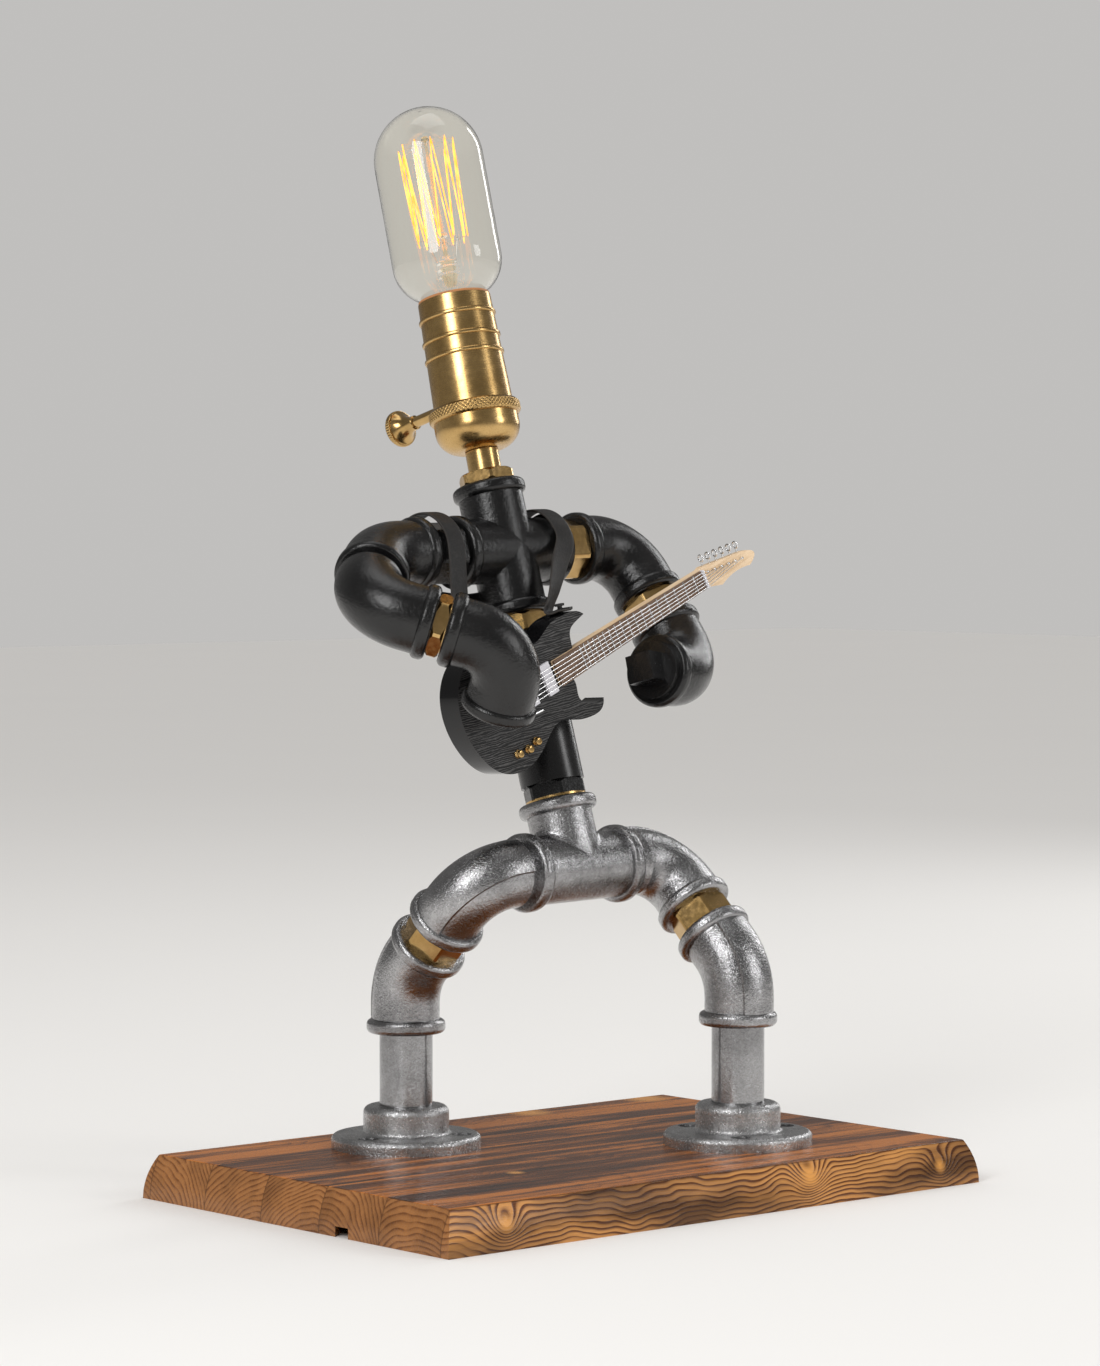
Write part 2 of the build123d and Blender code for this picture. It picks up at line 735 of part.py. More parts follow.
def guitar_body():
    """The guitar's body, face at zero height, with the pocket for the neck."""
    lower = Spline(*[body_point(share) for share in lower_cutaway_shares])
    edge = Spline(*[body_point(share) for share in body_edge_shares])
    upper = Spline(*[body_point(share) for share in upper_cutaway_shares])
    pocket_side = Line(upper @ 1, lower @ 0)
    body = extrude(make_face([lower, edge, upper, pocket_side]), -guitar_body_thickness)
    pocket = neck_blank(-guitar_pocket_length, guitar_pocket_length, guitar_pocket_clearance)
    depth = guitar_neck_depth - guitar_neck_rise + guitar_pocket_clearance
    return body - Pos(0, 0, -depth) * extrude(pocket, depth + overrun)


def guitar_neck():
    """The neck and headstock in one piece of pale wood."""
    plan = neck_blank(-guitar_pocket_length, guitar_neck_length, 0)
    neck = Pos(0, 0, guitar_neck_rise - guitar_neck_depth) * extrude(plan, guitar_neck_depth)
    nut_half = guitar_nut_width / 2
    upper = Line((guitar_neck_length, nut_half), head_point(head_edge_shares[0]))
    edge = Line(head_point(head_edge_shares[0]), head_point(head_edge_shares[1]))
    end = Spline(*[head_point(share) for share in head_end_shares])
    under = Spline(*[head_point(share) for share in head_under_shares])
    back = Line(head_point(head_under_shares[-1]), (guitar_neck_length, -nut_half))
    close = Line((guitar_neck_length, -nut_half), (guitar_neck_length, nut_half))
    head = extrude(make_face([upper, edge, end, under, back, close]), head_depth)
    return neck + Pos(0, 0, guitar_neck_rise - guitar_neck_depth) * head


def guitar_fretboard():
    """The dark fretboard on the neck."""
    plan = neck_blank(-guitar_pocket_length, guitar_neck_length - nut_thickness, 0)
    return Pos(0, 0, guitar_neck_rise) * extrude(plan, fretboard_thickness)


def fret_place(number):
    """A fret's distance from where the neck leaves the body, by the twelfth root of two."""
    scale = guitar_neck_length - bridge_place_share * guitar_body_length
    return guitar_neck_length - scale * (1 - 2 ** (-number / 12))


def guitar_frets():
    """The frets, each a bar across the fretboard."""
    top = guitar_neck_rise + fretboard_thickness
    bars = []
    for number in range(1, fret_count + 1):
        place = fret_place(number)
        bar = Box(fret_width, 2 * neck_half_width(place), fret_height,
                  align=(Align.CENTER, Align.CENTER, Align.MIN))
        bars.append(Pos(place, 0, top) * bar)
    return Compound(children=bars)


# The strings lie just above the nut
nut_top = fretboard_thickness + nut_height - fret_height
string_line = nut_top + string_gap + string_radius


def guitar_nut():
    """The nut at the end of the fretboard."""
    bar = Box(nut_thickness, guitar_nut_width, nut_top, align=(Align.MAX, Align.CENTER, Align.MIN))
    return Pos(guitar_neck_length, 0, guitar_neck_rise) * bar


def guitar_strings():
    """The strings from the bridge to the nut."""
    start = bridge_place_share * guitar_body_length
    strings = []
    for index in range(string_count):
        across = index / (string_count - 1) - 1 / 2
        near = Vector(start, across * bridge_length * bridge_span_share, guitar_neck_rise + string_line)
        far = Vector(guitar_neck_length, across * guitar_nut_width * nut_span_share,
                     guitar_neck_rise + string_line)
        line = far - near
        side = square_to(line.normalized(), Vector(0, 1, 0))
        strings.append(aim(rod(string_radius, line.length), near, line.normalized(), side))
    return Compound(children=strings)


def guitar_pickups():
    """The two pickups across the body under the strings."""
    blocks = []
    for share in pickup_places_shares:
        block = Box(pickup_width, pickup_length, pickup_height, align=(Align.CENTER, Align.CENTER, Align.MIN))
        blocks.append(Pos(share * guitar_body_length, 0, 0) * block)
    return Compound(children=blocks)


def guitar_bridge():
    """The bridge plate, with a raised saddle bar under the strings."""
    place = Pos(bridge_place_share * guitar_body_length, 0, 0)
    plate = Box(bridge_width, bridge_length, bridge_height, align=(Align.MAX, Align.CENTER, Align.MIN))
    saddle_height = guitar_neck_rise + string_line - string_radius
    saddle = Box(bridge_height, bridge_length, saddle_height, align=(Align.MAX, Align.CENTER, Align.MIN))
    return place * (plate + Pos(-string_radius, 0, 0) * saddle)


def guitar_lever():
    """The thin lever that leaves the bridge and lies over the body."""
    start = Vector(bridge_place_share * guitar_body_length - bridge_width / 2, -bridge_length / 2, 0)
    corner = start + Vector(0, -lever_rise, lever_rise + lever_radius)
    end = corner + Vector(lever_length, -lever_rise, 0)
    foot = start + Vector(0, -lever_rise, 0)
    path = FilletPolyline(foot, corner, end, radius=lever_rise / 2)
    return sweep(Plane(origin=foot, z_dir=(0, 0, 1)) * Circle(lever_radius), path=path)


def guitar_knobs():
    """The three control knobs."""
    knobs = []
    for share in knob_places_shares:
        along, across = body_point(share)
        knobs.append(Pos(along, across, 0) * rod(knob_radius, knob_height))
    return Compound(children=knobs)


def guitar_tuners():
    """The six tuners along the upper edge of the headstock: a short stem and a wire loop each."""
    start = Vector(*head_point(head_edge_shares[0]))
    course = Vector(*head_point(head_edge_shares[1])) - start
    outward = Vector(-course.Y, course.X, 0).normalized()
    height = guitar_neck_rise - guitar_neck_depth + head_depth / 2
    tuners = []
    for index in range(string_count):
        base = start + course * ((index + 1 / 2) / string_count) + Vector(0, 0, height)
        stem = aim(rod(tuner_wire_radius, tuner_stem_length), base, outward, Vector(0, 0, 1))
        reach = tuner_stem_length + tuner_loop_radius - tuner_wire_radius
        loop = aim(Torus(tuner_loop_radius, tuner_wire_radius), base + outward * reach,
                   course.normalized(), Vector(0, 0, 1))
        tuners.append(stem + loop)
    return Compound(children=tuners)


def pin_places():
    """The foot and the outward direction of the strap pins, behind the tail and on the upper horn."""
    angle = math.radians(horn_pin_angle)
    tail = Vector(*body_point(tail_pin_shares), -guitar_body_thickness)
    horn = Vector(*body_point(horn_pin_shares), -guitar_body_thickness / 2)
    horn_out = Vector(math.cos(angle), math.sin(angle), 0)
    return [(tail, Vector(0, 0, -1)), (horn + horn_out * strap_pin_gap, horn_out)]


def guitar_strap_pins():
    """The strap pins, each a stem with a wider head."""
    pin = rod(strap_pin_radius, strap_pin_length)
    pin += Pos(0, 0, strap_pin_length) * rod(strap_pin_head_radius, strap_pin_head_height)
    along = Vector(1, 0, 0)
    return Compound(children=[
        aim(pin, foot, outward, square_to(outward, along)) for foot, outward in pin_places()])


def strap_section(centre, width_dir, face_dir):
    """The strap's cross section at a point, square to its run."""
    return Plane(origin=centre, x_dir=width_dir, z_dir=width_dir.cross(face_dir)) * Rectangle(
        strap_width, strap_thickness)


def shoulder_band():
    """The strap round the shoulders: an arch over each side and a band behind the chest.

    It is built about the centre of the cross, with X to the figure's left and Z along the torso.
    """
    inner = painted_bead_radius + strap_clearance
    outer = inner + strap_thickness
    hoop = Cylinder(outer, strap_width) - Cylinder(inner, strap_width)
    upper_half = Pos(0, 0, outer) * Box(2 * outer, 2 * outer, 2 * outer)
    arch = Rot(0, square_angle, 0) * hoop & upper_half
    span = right_strap_place + left_strap_place
    middle = (left_strap_place - right_strap_place) / 2
    plate = Pos(middle, -strap_back_drop / 2) * Rectangle(span + strap_width, strap_back_drop)
    corners = plate.vertices().group_by(Axis.Y)[0]
    plate = fillet(corners, strap_back_round)
    window_height = strap_back_drop - strap_width
    window = Pos(middle, -window_height / 2) * Rectangle(span - strap_width, window_height)
    window = fillet(window.vertices().group_by(Axis.Y)[0], strap_back_round - strap_width)
    back = extrude(Plane.XZ * (plate - window), -strap_thickness)
    band = Pos(0, inner, 0) * back
    return band + Pos(-right_strap_place, 0, 0) * arch + Pos(left_strap_place, 0, 0) * arch


def strap_tab(seat_centre, width_dir, face_dir):
    """The flat end of the strap on a pin, square to the guitar's face."""
    run_dir = width_dir.cross(face_dir)
    return aim(Box(strap_width, strap_thickness, strap_end_length), seat_centre, run_dir, width_dir)


def guitar_strap(shoulders, shoulder_width_dir, shoulder_face_dir):
    """The strap's two front runs in the guitar's own frame, from the shoulders to the tail and the horn.

    The tail run ends flat on the body's back, on a pin; the horn run drops on to the horn.
    """
    (tail, tail_dir), (horn, horn_dir) = pin_places()
    seat = strap_end_gap + strap_thickness / 2
    face = Vector(0, 0, 1)
    tail_seat = tail + tail_dir * seat
    drop = tail_seat - shoulders[0]
    tail_run = square_to(face, drop)
    tail_width = face.cross(tail_run)
    tail_entry = tail_seat - tail_run * (strap_end_length / 2)
    band = loft([
        strap_section(shoulders[0], shoulder_width_dir, shoulder_face_dir),
        strap_section(tail_entry, tail_width, face),
    ])
    band += strap_tab(tail_seat, tail_width, face)
    horn_seat = horn + horn_dir * seat
    horn_width = horn_dir.cross(face)
    entry = horn_seat - face * (strap_end_length / 2)
    band += loft([
        strap_section(shoulders[1], shoulder_width_dir, shoulder_face_dir),
        strap_section(entry, horn_width, horn_dir),
    ])
    band += strap_tab(horn_seat, horn_width, horn_dir)
    for foot, outward in pin_places():
        hole = rod(strap_pin_radius + strap_clearance, strap_pin_length)
        band -= aim(hole, foot, outward, square_to(outward, Vector(1, 0, 0)))
    return band


# Directions and centres of the standing figure
up = Vector(0, 0, 1)
turn_angle = math.radians(figure_turn)
side_lean = math.radians(figure_side_lean)
level_left = Vector(math.cos(turn_angle), math.sin(turn_angle), 0)
to_back = Vector(-math.sin(turn_angle), math.cos(turn_angle), 0)
to_left = level_left * math.cos(side_lean) + up * math.sin(side_lean)
figure_up = up * math.cos(side_lean) - level_left * math.sin(side_lean)
thigh_length = elbow_reach + knee_gap + half_elbow_reach
slope = math.sqrt(1 / 2)
knee_height = hub_height + leg_pipe_visible + half_elbow_reach
hip_height = board_thickness + knee_height + thigh_length * slope
hips = Vector(figure_right_shift, figure_back_shift, hip_height)
hip_reach = elbow_reach + street_reach - thread_length
lean_angle = math.radians(torso_lean)
torso = figure_up * math.cos(lean_angle) + to_back * math.sin(lean_angle)
chest = hips + torso * (2 * elbow_reach + waist_gap + spine_length + chest_gap)

parts = {}

# Legs: the right one goes back from the hip and the left one comes forward
feet = {}
knees = {}
for side, sign in (("right", -1), ("left", 1)):
    outward = to_left * sign
    hip = hips + outward * hip_reach
    thigh = (to_back * -sign - figure_up) * slope
    knee = hip + thigh * thigh_length
    foot = Vector(knee.X, knee.Y, board_thickness)
    feet[side] = foot
    knees[side] = knee
    street = elbow(square_angle, elbow_reach, elbow_bend_radius, galvanised_bead_radius,
                   male_reach=street_reach, ribbed=True)
    parts[side + "_hip_elbow"] = place_elbow(street, hip, thigh * -1, outward * -1)
    parts[side + "_knee_nipple"] = aim(hex_nipple(knee_gap), hip + thigh * elbow_reach, thigh, outward)
    bend = elbow(half_angle, half_elbow_reach, half_elbow_bend_radius, galvanised_bead_radius, ribbed=True)
    parts[side + "_knee_elbow"] = place_elbow(bend, knee, thigh, up * -1)
    shin = knee.Z - half_elbow_reach - hub_height - board_thickness
    parts[side + "_leg_pipe"] = Pos(foot + up * hub_height) * leg_pipe(shin)
flange_turns = {"right": right_flange_turn, "left": left_flange_turn}
screws = []
for side, foot in feet.items():
    stand = Pos(foot) * Rot(0, 0, flange_turns[side])
    parts[side + "_flange"] = stand * flange()
    screws += [stand * place * flange_screw() for place in hole_places()]
parts["flange_screws"] = Compound(children=screws)
parts["base_board"] = base_board(feet.values(), flange_turns.values(), feet["right"])

# Hips, spine and chest
tee_arms = [Vector(1, 0, 0), Vector(-1, 0, 0), Vector(0, 0, 1)]
tee_radii = [fitting_radius, fitting_radius, branch_radius]
tee = branched(tee_arms, tee_radii, galvanised_bead_radius, tee_seam_round)
parts["hip_tee"] = aim(tee, hips, torso, to_left)
waist = hips + torso * elbow_reach
parts["waist_nipple"] = aim(waist_fitting(waist_gap), waist, torso, to_left)
parts["spine_sleeve"] = aim(spine_tube(), waist + torso * waist_gap, torso, to_left)
spine_top = waist + torso * (waist_gap + spine_length)
parts["chest_nipple"] = aim(hex_nipple(chest_gap), spine_top, torso, to_left)
cross_arms = tee_arms + [Vector(0, 0, -1)]
cross_radii = [branch_radius] * len(cross_arms)
cross = branched(cross_arms, cross_radii, painted_bead_radius, 0)
parts["chest_cross"] = aim(cross, chest, torso, to_left)

# Right arm: half elbow, street elbow and elbow
to_right = to_left * -1
right_shoulder_face = chest + to_right * elbow_reach
parts["right_shoulder_nipple"] = aim(
    hex_nipple(right_shoulder_gap - turning_gap), right_shoulder_face, to_right, torso)
right_shoulder = right_shoulder_face + to_right * (right_shoulder_gap + half_elbow_reach)
right_upper = deflect(to_right, torso, half_angle, right_shoulder_roll_angle)
parts["right_shoulder_elbow"] = place_elbow(
    elbow(half_angle, half_elbow_reach, half_elbow_bend_radius, painted_bead_radius),
    right_shoulder, to_right, right_upper)
right_elbow = right_shoulder + right_upper * (half_elbow_reach + street_reach - thread_length)
right_fore = deflect(right_upper, torso, square_angle, right_upper_arm_roll_angle)
parts["right_upper_arm_elbow"] = place_elbow(
    elbow(square_angle, elbow_reach, elbow_bend_radius, painted_bead_radius, male_reach=street_reach),
    right_elbow, right_fore * -1, right_upper * -1)
right_fore_face = right_elbow + right_fore * elbow_reach
parts["right_forearm_nipple"] = aim(
    hex_nipple(right_forearm_gap - turning_gap), right_fore_face, right_fore, square_to(right_fore, torso))
right_wrist = right_fore_face + right_fore * (right_forearm_gap + elbow_reach)
right_hand = deflect(right_fore, torso, square_angle, right_forearm_roll_angle)
square_elbow = elbow(square_angle, elbow_reach, elbow_bend_radius, painted_bead_radius)
parts["right_forearm_elbow"] = place_elbow(square_elbow, right_wrist, right_fore, right_hand)

# Left arm: two elbows, with a plug in the hand
left_shoulder_face = chest + to_left * elbow_reach
parts["left_shoulder_nipple"] = aim(
    hex_nipple(left_shoulder_gap - turning_gap), left_shoulder_face, to_left, torso)
left_shoulder = left_shoulder_face + to_left * (left_shoulder_gap + elbow_reach)
left_fore = deflect(to_left, torso, square_angle, left_shoulder_roll_angle)
parts["left_shoulder_elbow"] = place_elbow(square_elbow, left_shoulder, to_left, left_fore)
left_fore_face = left_shoulder + left_fore * elbow_reach
parts["left_forearm_nipple"] = aim(
    hex_nipple(left_forearm_gap - turning_gap), left_fore_face, left_fore, square_to(left_fore, torso))
left_wrist = left_fore_face + left_fore * (left_forearm_gap + elbow_reach)
left_hand = deflect(left_fore, torso, square_angle, left_forearm_roll_angle)
parts["left_forearm_elbow"] = place_elbow(square_elbow, left_wrist, left_fore, left_hand)
parts["left_hand_plug"] = aim(
    hand_plug(), left_wrist + left_hand * elbow_reach, left_hand, square_to(left_hand, torso))

# Neck, lampholder and bulb on the head's own line
tilt_left = math.tan(math.radians(head_tilt_left))
tilt_forward = math.tan(math.radians(head_tilt_forward))
head = (torso + to_left * tilt_left - to_back * tilt_forward).normalized()
neck = chest + torso * elbow_reach
key_side = square_to(head, to_back)
parts["neck_bushing"] = aim(neck_bushing(head, torso), neck, torso, square_to(torso, Vector(1, 0, 0)))
head_pieces = {
    "neck_nipple": neck_nipple(),
    "holder_cap": holder_cap(),
    "holder_ring": holder_ring(),
    "holder_shell": holder_shell(),
    "holder_liner": holder_liner(),
    "socket_insert": socket_insert(),
    "screw_shell": screw_shell(),
    "centre_contact": Pos(0, 0, insert_top) * rod(contact_radius, contact_height),
    "switch_key_stem": key_stem(),
    "switch_key_knob": key_knob(),
    "bulb_cap": bulb_cap(),
    "bulb_glass": bulb_glass(),
    "bulb_mount": bulb_mount(),
    "bulb_filament": bulb_filament(),
}
for name, shape in head_pieces.items():
    parts[name] = aim(shape, neck, head, key_side)

# Guitar across the figure's front, its face set against the bead of the right hand
rise = math.radians(neck_rise_angle)
tip = math.radians(guitar_tip_back)
along_neck = Vector(math.cos(rise), 0, math.sin(rise))
level_across = Vector(-math.sin(rise), 0, math.cos(rise))
face_out = Vector(0, -1, 0) * math.cos(tip) + level_across * math.sin(tip)
face_in = face_out * -1
hand_bead = right_wrist + right_hand * (elbow_reach - bead_width / 2)
endwise = abs(face_in.dot(right_hand))
bead_depth = (painted_bead_radius - bead_round) * math.sqrt(1 - endwise ** 2)
bead_depth += (bead_width / 2 - bead_round) * endwise + bead_round
face_depth = hand_bead.dot(face_in) + bead_depth + hand_gap
joint_line = Vector(chest.X - guitar_joint_side, 0, chest.Z - guitar_joint_drop)
joint_y = (face_depth - joint_line.dot(face_in)) / face_in.Y
guitar_place = joint_line + Vector(0, joint_y, 0)
guitar_pieces = {
    "guitar_body": guitar_body(),
    "guitar_neck": guitar_neck(),
    "guitar_fretboard": guitar_fretboard(),
    "guitar_frets": guitar_frets(),
    "guitar_nut": guitar_nut(),
    "guitar_strings": guitar_strings(),
    "guitar_pickups": guitar_pickups(),
    "guitar_bridge": guitar_bridge(),
    "guitar_lever": guitar_lever(),
    "guitar_knobs": guitar_knobs(),
    "guitar_tuners": guitar_tuners(),
    "guitar_strap_pins": guitar_strap_pins(),
}
for name, shape in guitar_pieces.items():
    parts[name] = aim(shape, guitar_place, face_out, along_neck)

# Strap from the tail pin over the right shoulder, behind the chest, over the left shoulder to the horn
strap_rest = painted_bead_radius + strap_clearance + strap_thickness / 2
to_front = torso.cross(to_left) * -1
guitar_frame = Plane(origin=guitar_place, x_dir=along_neck, z_dir=face_out)
strap_places = (-right_strap_place, left_strap_place)
strap_tops = [chest + to_left * place + to_front * strap_rest for place in strap_places]
front_runs = guitar_strap(
    [guitar_frame.to_local_coords(top) for top in strap_tops],
    in_frame(guitar_frame, to_left), in_frame(guitar_frame, to_front))
parts["guitar_strap"] = aim(shoulder_band(), chest, torso, to_left) + guitar_frame.location * front_runs

# Lamp wire from the lampholder down the neck, spine and right leg into the board
right_hip = hips + to_right * hip_reach
right_foot = feet["right"]
wire_end = Vector(right_foot.X, right_foot.Y, groove_depth)
wire_start = neck + head * (insert_base + wire_hole_depth - wire_end_gap)
wire_turns = (wire_start, neck, hips, right_hip, knees["right"], wire_end)
wire_path = FilletPolyline(*wire_turns, radius=wire_bend_radius)
wire_face = Plane(origin=wire_start, x_dir=key_side, z_dir=head * -1) * Circle(wire_radius)
parts["lamp_wire"] = sweep(wire_face, path=wire_path)

os.makedirs("parts", exist_ok=True)
for name, shape in parts.items():
    export_step(shape, "parts/" + name + ".step")
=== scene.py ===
import json
import logging
import math
from dataclasses import dataclass
from enum import Enum

import bmesh
import bpy
import numpy as np
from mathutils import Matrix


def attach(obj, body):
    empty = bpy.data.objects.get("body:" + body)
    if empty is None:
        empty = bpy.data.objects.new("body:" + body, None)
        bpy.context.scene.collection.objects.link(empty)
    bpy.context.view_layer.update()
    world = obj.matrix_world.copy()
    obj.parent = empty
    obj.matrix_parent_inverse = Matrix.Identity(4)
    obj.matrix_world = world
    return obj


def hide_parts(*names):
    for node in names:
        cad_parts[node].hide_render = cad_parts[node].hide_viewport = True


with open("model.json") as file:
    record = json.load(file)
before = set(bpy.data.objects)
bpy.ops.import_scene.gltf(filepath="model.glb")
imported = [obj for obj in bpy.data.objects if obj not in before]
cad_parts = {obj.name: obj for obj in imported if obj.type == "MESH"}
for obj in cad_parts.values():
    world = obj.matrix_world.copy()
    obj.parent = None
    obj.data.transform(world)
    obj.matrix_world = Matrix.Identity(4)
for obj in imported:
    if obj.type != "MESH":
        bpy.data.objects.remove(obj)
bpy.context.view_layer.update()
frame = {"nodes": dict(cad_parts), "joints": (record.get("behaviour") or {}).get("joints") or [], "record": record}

Array = np.ndarray
Material = bpy.types.Material
Piece = bpy.types.Object
Socket = bpy.types.NodeSocket
Triple = tuple[float, float, float]

log = logging.getLogger("lamp")
MM = 0.001
# The radius, in millimetres, that closes a turned shape at its axis
TIP = 0.02
# A direction that no tube runs along
TUBE_GUIDE = (0.31, 0.17, 0.93)


class Body(Enum):
    """The rigid bodies that pieces ride on."""

    STAND = "stand"
    LAMPHOLDER = "lampholder"
    SWITCH_KEY = "switch_key"
    BULB = "bulb"


def unit(vector: Array) -> Array:
    """Vectors scaled to length one along their last axis."""
    vector = np.asarray(vector, float)
    return vector / np.linalg.norm(vector, axis=-1, keepdims=True)


def circle(count: int) -> Array:
    """Angles spread evenly over one full turn."""
    return np.linspace(0, 2 * np.pi, count, endpoint=False)


def zigzag(turns: Array) -> Array:
    """A triangle wave from 0 to 1, one tooth to each turn."""
    return np.abs(turns % 1 - 0.5) * 2


@dataclass(frozen=True)
class Seat:
    """A local frame in the lamp: an origin in metres and two directions."""

    origin: Triple
    z_dir: Triple
    x_dir: Triple

    def place(self, points: Array) -> Array:
        """Local points in millimetres moved to the lamp's frame in metres."""
        return np.asarray(self.origin) + (np.asarray(points) * MM) @ self.turn()

    def turn(self) -> Array:
        """The frame's three directions as rows."""
        z = unit(self.z_dir)
        x = unit(np.asarray(self.x_dir) - np.dot(self.x_dir, z) * z)
        return np.stack([x, np.cross(z, x), z])

    def aim(self, directions: Array) -> Array:
        """Local directions as unit directions in the lamp's frame."""
        return unit(np.asarray(directions, float) @ self.turn())

    def measure(self, points: Array) -> Array:
        """Points in the lamp's frame as local points in millimetres."""
        return (np.asarray(points) - np.asarray(self.origin)) @ self.turn().T / MM


def joint_seat(name: str, across: str) -> Seat:
    """A seat at a joint, its z along the joint's axis and its x towards another joint's axis."""
    joints = {joint["name"]: joint for joint in frame["joints"]}
    joint, other = joints[name], joints[across]
    return Seat(tuple(joint["pos_m"]), tuple(joint["axis"]), tuple(other["axis"]))


HEAD = joint_seat("lampholder_turn", "switch_key_turn")
KEY = joint_seat("switch_key_turn", "lampholder_turn")
GUITAR = Seat((-0.00101317, -0.00398794, 0.21103054), (-0.021952, -0.99863, 0.047509),
              (0.907777, 0.0, 0.419452))
CHEST = Seat((0.00078683, 0.04015085, 0.25563054), (-0.03109, 0.28459, 0.95815),
             (0.99883, 0.04448, 0.0192))


def grid_quads(points: Array, wrap_rows: bool, wrap_cols: bool) -> Array:
    """Faces of a grid of points, row by row.

    Args:
        points: array of rows and columns of points.
        wrap_rows: whether the last row joins the first.
        wrap_cols: whether the last column joins the first.
    Returns:
        Array of four point numbers per face.
    """
    rows, cols = points.shape[:2]
    i = np.arange(rows if wrap_rows else rows - 1)[:, None]
    j = np.arange(cols if wrap_cols else cols - 1)
    i2, j2 = (i + 1) % rows, (j + 1) % cols
    quads = np.stack([i * cols + j, i * cols + j2, i2 * cols + j2, i2 * cols + j], axis=-1)
    return quads.reshape(-1, 4)


def mesh_piece(name: str, points: Array, quads: Array, caps: list[list[int]] | None = None,
               uv: Array | None = None) -> Piece:
    """A smooth-shaded mesh object at the origin from points and faces.

    Args:
        name: the piece's name.
        points: array of points in metres.
        quads: array of four point numbers per face.
        caps: further faces with any number of corners.
        uv: two pattern coordinates per point, kept as the piece's UV map.
    Returns:
        The linked object.
    """
    mesh = bpy.data.meshes.new(name)
    mesh.from_pydata(points.reshape(-1, 3).tolist(), [], quads.tolist() + (caps or []))
    mesh.polygons.foreach_set("use_smooth", np.ones(len(mesh.polygons), bool))
    if uv is not None:
        corners = np.empty(len(mesh.loops), np.int32)
        mesh.loops.foreach_get("vertex_index", corners)
        layer = mesh.uv_layers.new(name="pattern")
        layer.data.foreach_set("uv", np.asarray(uv, np.float32).reshape(-1, 2)[corners].ravel())
    mesh.update()
    piece = bpy.data.objects.new(name, mesh)
    bpy.context.scene.collection.objects.link(piece)
    return piece


def turned(turn: Array, radius: Array, height: Array) -> Array:
    """A section carried round an axis: each point is (radius cos turn, radius sin turn, height)."""
    angle = np.asarray(turn)[:, None]
    return np.stack(np.broadcast_arrays(radius * np.cos(angle), radius * np.sin(angle), height), axis=-1)


def sweep_tube(path: Array, radius: float | Array, sides: int) -> tuple[Array, Array]:
    """A round tube along a path: at each point a ring square to the path, set out from one fixed guide.

    Args:
        path: array of points along the tube.
        radius: one radius, or one per point.
        sides: points round the ring.
    Returns:
        Points and faces of the open tube.
    """
    tangent = unit(np.gradient(path, axis=0))
    side = unit(np.cross(tangent, TUBE_GUIDE))
    other = np.cross(tangent, side)
    angle = circle(sides)[:, None]
    ring = np.cos(angle) * side[:, None, :] + np.sin(angle) * other[:, None, :]
    points = path[:, None, :] + ring * np.broadcast_to(radius, len(path))[:, None, None]
    return points, grid_quads(points, False, True)


def sweep_tubes(runs: list[tuple]) -> tuple[Array, Array]:
    """Several tubes as one list of points and faces.

    Args:
        runs: the path, the radius and the number of sides of each tube.
    Returns:
        All the points, and the faces by their numbers.
    """
    all_points, all_quads, start = [], [], 0
    for path, radius, sides in runs:
        points, quads = sweep_tube(path, radius, sides)
        all_points.append(points.reshape(-1, 3))
        all_quads.append(quads + start)
        start += len(all_points[-1])
    return np.vstack(all_points), np.vstack(all_quads)


def smooth_path(knots: Array, steps: int) -> Array:
    """A curve through the knots: each stretch is a cubic whose end slopes come from the neighbours.

    Args:
        knots: array of points, or of any values to carry along.
        steps: points per stretch.
    Returns:
        The values along the curve.
    """
    before = np.vstack([2 * knots[:1] - knots[1:2], knots[:-1]])
    after = np.vstack([knots[1:], 2 * knots[-1:] - knots[-2:-1]])
    slope = (after - before) / 2
    t = np.linspace(0, 1, steps, endpoint=False)[None, :, None]
    p0, p1 = knots[:-1, None, :], knots[1:, None, :]
    m0, m1 = slope[:-1, None, :], slope[1:, None, :]
    curve = ((2 * t ** 3 - 3 * t ** 2 + 1) * p0 + (t ** 3 - 2 * t ** 2 + t) * m0
             + (3 * t ** 2 - 2 * t ** 3) * p1 + (t ** 3 - t ** 2) * m1)
    return np.vstack([curve.reshape(-1, knots.shape[1]), knots[-1:]])


